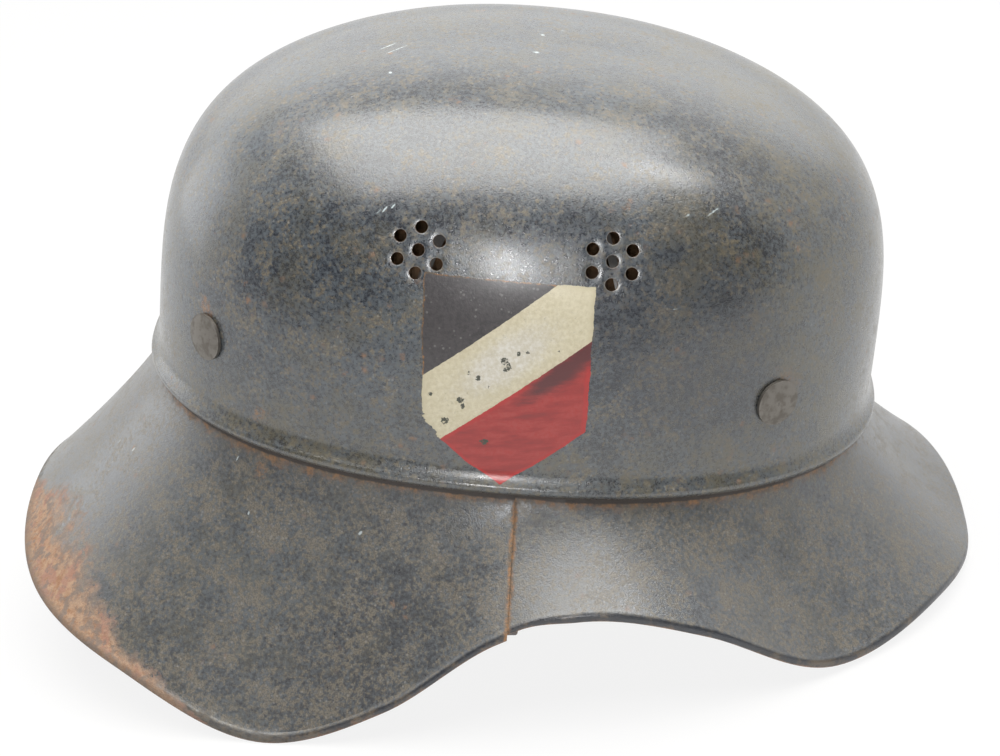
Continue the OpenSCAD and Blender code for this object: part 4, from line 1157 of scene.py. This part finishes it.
def shield_paint():
    """Three bands by the stored distance from the black band's edge, each faded its own way, then chips."""
    made, tree, shader = new_material("shield_print")
    at, m = wear_masks(tree, 0.2)
    band, rim_gap, pale, smudge, worn = kept(tree, "band", "rim_gap", "pale", "smudge", "worn")
    band_at = band + 0.5 * noise(at, 1.6, 3.0, 0.6)
    rim_at = rim_gap + 1.2 * noise(at, 1.5, 3.0, 0.6)
    streak = noise(put("Mapping", {"Vector": at, "Scale": (0.6, 0.6, 2.6)}), 6.0, 5.0, 0.6)
    rubbed = mask(pale + 0.8 * m["Fine"], 0.45, 1.10)
    yellowed = mask(rim_at + 2 * streak, 4.2, 1.6)
    black = layer(PRINT_BLACK, (SCUFF, 0.3 * m["Tone"]), (PALE, 0.3 * m["Dot"]))
    cream = layer(CREAM, (CREAM_LIGHT, rubbed), (CREAM_YELLOW, 0.5 * either(yellowed, m["Tone"])),
                  (SCUFF, 0.35 * mask(noise(at, 0.9, 3.0, 0.7), 0.60, 0.76)))
    red_line = either(mask(band_at, CREAM_WIDTH + 1.8, CREAM_WIDTH + 0.9), mask(rim_at, 2.4, 1.6))
    red = layer(RED, (RED_DARK, 0.35 * mask(streak, 0.35, 0.70)),
                (RED_PINK, 0.5 * m["Tone"] * mask(streak, 0.60, 0.36)), (RED_FRESH, 0.7 * red_line),
                (RED_DARK, 0.95 * mask(smudge + 1.2 * streak, 0.65, 1.45)))
    rusty = layer(BROWN, (ORANGE, mask(noise(at, 2.5, 4.0, 0.7), 0.46, 0.6)))
    flaked = mask(worn + 1.6 * noise(at, 0.9, 4.0, 0.7), 1.0, 0.8)
    chip = flaked * mask(noise(at, 0.8, 2.0, 0.6), 0.66, 0.54)
    tint = layer(black, (cream, mask(band_at, 0.18, 0.32)),
                 (red, mask(band_at, CREAM_WIDTH + 0.18, CREAM_WIDTH + 0.32)),
                 (rusty, 0.8 * mask(rim_at, 1.15, 0.8) * mask(band_at, 0.32, 0.18)), (PRIMER, chip))
    rough = 0.28 + 0.16 * m["Grain"] + 0.06 * rubbed + 0.25 * chip
    height = 0.8 * m["Grain"] + 0.9 * m["Fine"] - 0.5 * m["Scratch"]
    lacquer = between(0.6, 0.0, chip)
    finish_surface(shader, tint, rough, height, PRINT_RELIEF_MM, Coat_Weight=lacquer, Coat_Roughness=0.22)
    return made


dress(shield, shield_paint())

# %% [markdown]
# ## Bare metal and leather
# Rivets, springs, band and buckle are bare steel that has dulled and browned. The leather is
# old: dark and smooth where it was handled, dry and lighter in the creases and cut edges.

# %% Metals
METAL_RELIEF_MM = 0.02


def worn_metal(name, base, tarnish, shine, stain):
    """Dull steel: tarnish in blotches, brown stains in clumps, and grain that scatters the light."""
    made, tree, shader = new_material(name)
    at, m = wear_masks(tree, 0.4)
    blotch = mask(noise(at, 3.0, 3.0, 0.6), 0.42, 0.62)
    browned = stain * m["Freckle"]
    tint = layer(base, (tarnish, blotch), (BROWN, browned))
    rough = shine + 0.2 * m["Grain"] + 0.12 * blotch + 0.25 * browned
    height = 0.5 * m["Grain"] + 0.2 * blotch
    finish_surface(shader, tint, rough, height, METAL_RELIEF_MM, Metallic=between(0.9, 0.1, browned))
    return made


metals = {
    "rivet_steel": worn_metal("rivet_brown_steel", colour(0.22, 0.205, 0.185), colour(0.18, 0.165, 0.145),
                              0.36, 0.15),
    "liner_metal": worn_metal("dull_zinc", colour(0.46, 0.47, 0.46), colour(0.27, 0.27, 0.26),
                              0.36, 0.55),
    "buckle_steel": worn_metal("dull_nickel", colour(0.50, 0.48, 0.44), colour(0.30, 0.28, 0.25),
                               0.26, 0.45)}
slot_of = {part["node"]: part["material_slot"] for part in frame["record"]["subparts"]}
metal_nodes = [name for name in nodes if slot_of.get(name) in metals]
for name in metal_nodes:
    dress(nodes[name], metals[slot_of[name]])
print("metal nodes:", len(metal_nodes))

# %% Leathers
LEATHER_RELIEF_MM = 0.12


def old_leather(name, base, dark, worn_tint):
    """Leather: a pebbled grain of small cells, dark handling marks in clouds, and lighter cracks and cut
    edges. A piece that keeps no side_gap counts as all edge, so the liner is lighter all over."""
    made, tree, shader = new_material(name)
    at, m = wear_masks(tree, 0.3)
    side_gap, = kept(tree, "side_gap")
    handled = mask(noise(at, 18.0, 3.0, 0.6), 0.40, 0.62)
    crack = mask(noise(at, 2.4, 4.0, 0.7), 0.60, 0.72)
    side = mask(side_gap + 0.5 * m["Grain"], 1.1, 0.6)
    tint = layer(base, (dark, handled), (worn_tint, 0.5 * crack), (worn_tint, 0.6 * side))
    rough = 0.55 - 0.14 * handled + 0.15 * crack + 0.1 * m["Grain"]
    height = 0.6 * cells(at, 0.9) - 0.5 * crack + 0.3 * m["Grain"]
    finish_surface(shader, tint, rough, height, LEATHER_RELIEF_MM)
    return made


dress(leather, old_leather("liner_tan", colour(0.15, 0.078, 0.036), colour(0.055, 0.028, 0.015),
                           colour(0.24, 0.14, 0.07)))
strap_finish = old_leather("strap_brown", colour(0.12, 0.058, 0.028), colour(0.042, 0.022, 0.013),
                           colour(0.26, 0.15, 0.08))
for piece in (strap_long, strap_short, keeper):
    dress(piece, strap_finish)
print("materials:", len(bpy.data.materials))

# %% [markdown]
# ## Camera
# The camera stands on the wearer's right, 26 degrees above the bead's plane, 90 cm away with
# a long lens, and rolled a little.

# %% Camera
ELEVATION = math.radians(25.9)
ROLL = math.radians(4.7)
DISTANCE = 900.0
LENS_PIXELS = 2708.0
TARGET = np.array([-4.3, 0.0, -6.9])
back_way = np.array([0, -math.cos(ELEVATION), math.sin(ELEVATION)])
level = np.array([1.0, 0, 0])
upward = np.cross(back_way, level)
right_way = level * math.cos(ROLL) + upward * math.sin(ROLL)
up_way = -level * math.sin(ROLL) + upward * math.cos(ROLL)
eye_point = stand(TARGET + DISTANCE * back_way)
turn_axes = np.array([stand(v) - stand([0, 0, 0]) for v in (right_way, up_way, back_way)]) * 1000
camera_data = bpy.data.cameras.new("camera")
camera = bpy.data.objects.new("camera", camera_data)
bpy.context.scene.collection.objects.link(camera)
camera.matrix_world = Matrix.Translation(Vector(eye_point)) @ Matrix(turn_axes.T.tolist()).to_4x4()
camera_data.sensor_width = 36.0
camera_data.lens = LENS_PIXELS / 1000 * camera_data.sensor_width
camera_data.clip_end = 20
bpy.context.scene.camera = camera
print("camera at", eye_point.round(3), "lens", round(camera_data.lens, 1))

# %% [markdown]
# ## Light
# The helmet stands on a white sweep in a room that is dim behind the camera, so its side stays
# dark and its outline glows. One large bank overhead makes the bright arch round the crown's
# shoulder, weak lamps behind and beside it light the edges, and a small lamp under the camera
# makes the glint on the side.

# %% Lamps
WARM_WHITE = (1.0, 0.985, 0.95)


def soft_lamp(name, place_at, look_at, width, height, radiance, tone=(1.0, 1.0, 1.0)):
    """A rectangular lamp of power radiance * area * pi, so that a radiance of 1 looks as bright as
    white."""
    data = bpy.data.lights.new(name, "AREA")
    data.shape = "RECTANGLE"
    data.size = width
    data.size_y = height
    data.energy = radiance * width * height * math.pi
    data.color = tone
    lamp = bpy.data.objects.new(name, data)
    bpy.context.scene.collection.objects.link(lamp)
    lamp.rotation_euler = (Vector(look_at) - Vector(place_at)).to_track_quat("-Z", "Y").to_euler()
    lamp.location = place_at


soft_lamp("bank", (0.0, -0.06, 1.38), (0.0, -0.06, 0), 1.56, 1.66, 4.4, WARM_WHITE)
soft_lamp("back_bank", (0.0, 1.9, 0.95), (0, 0, 0.12), 3.6, 1.1, 0.6, WARM_WHITE)
soft_lamp("side_lamp", (0.74, -0.10, 1.20), (0, 0, 0.1), 0.30, 0.30, 8.0)
soft_lamp("rear_lamp", (-1.5, 0.75, 0.45), (0, 0, 0.1), 1.0, 1.0, 1.2)
soft_lamp("glint", (0.035, -0.93, 0.41), (0, 0, 0.1), 0.05, 0.24, 54.0)

# %% Dim room
ROOM_LIGHT = 0.16
world = bpy.data.worlds.new("room")
bpy.context.scene.world = world
world.use_nodes = True
room_ray = node(world.node_tree, "LightPath")["Is Camera Ray"]
room_light = between(ROOM_LIGHT, 1.0, room_ray)
fill(world.node_tree.nodes["Background"].inputs, {"Color": (1, 1, 1, 1), "Strength": room_light})
bpy.context.scene.view_settings.view_transform = "Standard"

# %% [markdown]
# ## White sweep
# Floor and backdrop are one paper. What the camera sees of it, and what the metal mirrors,
# is mostly its own white, so that it stays clean. The rest is lit paper, so that the helmet
# keeps its soft shadow.

# %% Sweep
OWN_WHITE = 0.86
PAPER = colour(0.74, 0.74, 0.74)
PAPER_DIM = colour(0.2, 0.2, 0.2)
SWEEP_OUT = 2.4
SWEEP_BEND = 0.6
SWEEP_TOP = 3.4


def white_paper():
    """Lit paper mixed with its own white for camera, glossy and transmission rays. In the light that it
    throws on the helmet it dims towards the camera, where a real table ends."""
    made, tree, _ = new_material("white_paper")
    tree.nodes.clear()
    ray = node(tree, "LightPath")
    near = mask(put("SeparateXYZ", {0: node(tree, "TexCoord")["Object"]}, "Y"), -0.80, -0.28)
    mirrored = either(ray["Is Glossy Ray"], ray["Is Transmission Ray"]) * between(0.15, 1.0, near)
    seen = either(ray["Is Camera Ray"], mirrored)
    lit = put("BsdfDiffuse", {"Color": layer(PAPER_DIM, (PAPER, near))})
    own = node(tree, "Emission", {"Strength": 1.0})["Emission"]
    node(tree, "OutputMaterial", {"Surface": put("MixShader", {0: OWN_WHITE * seen, 1: lit, 2: own})})
    return made


def sweep_grid():
    """The paper's half round wall: it leaves the floor, curves up in a quarter round, and stands."""
    t = np.radians(np.linspace(0, 90, 13))
    r = np.concatenate([SWEEP_OUT + SWEEP_BEND * np.sin(t), [SWEEP_OUT + SWEEP_BEND]])
    z = np.concatenate([SWEEP_BEND * (1 - np.cos(t)), [SWEEP_TOP]])
    return round_to(np.radians(np.linspace(-25, 205, 70))[:, None], r, z)


paper = white_paper()
grid = sweep_grid()
backdrop = make_piece("backdrop", grid, grid_faces(*grid.shape[:2]).tolist())
floor = make_piece("floor", [[-9, -9, 0], [9, -9, 0], [9, 4, 0], [-9, 4, 0]], [[0, 1, 2, 3]])
for piece in (backdrop, floor):
    dress(piece, paper)
print("sweep ready")
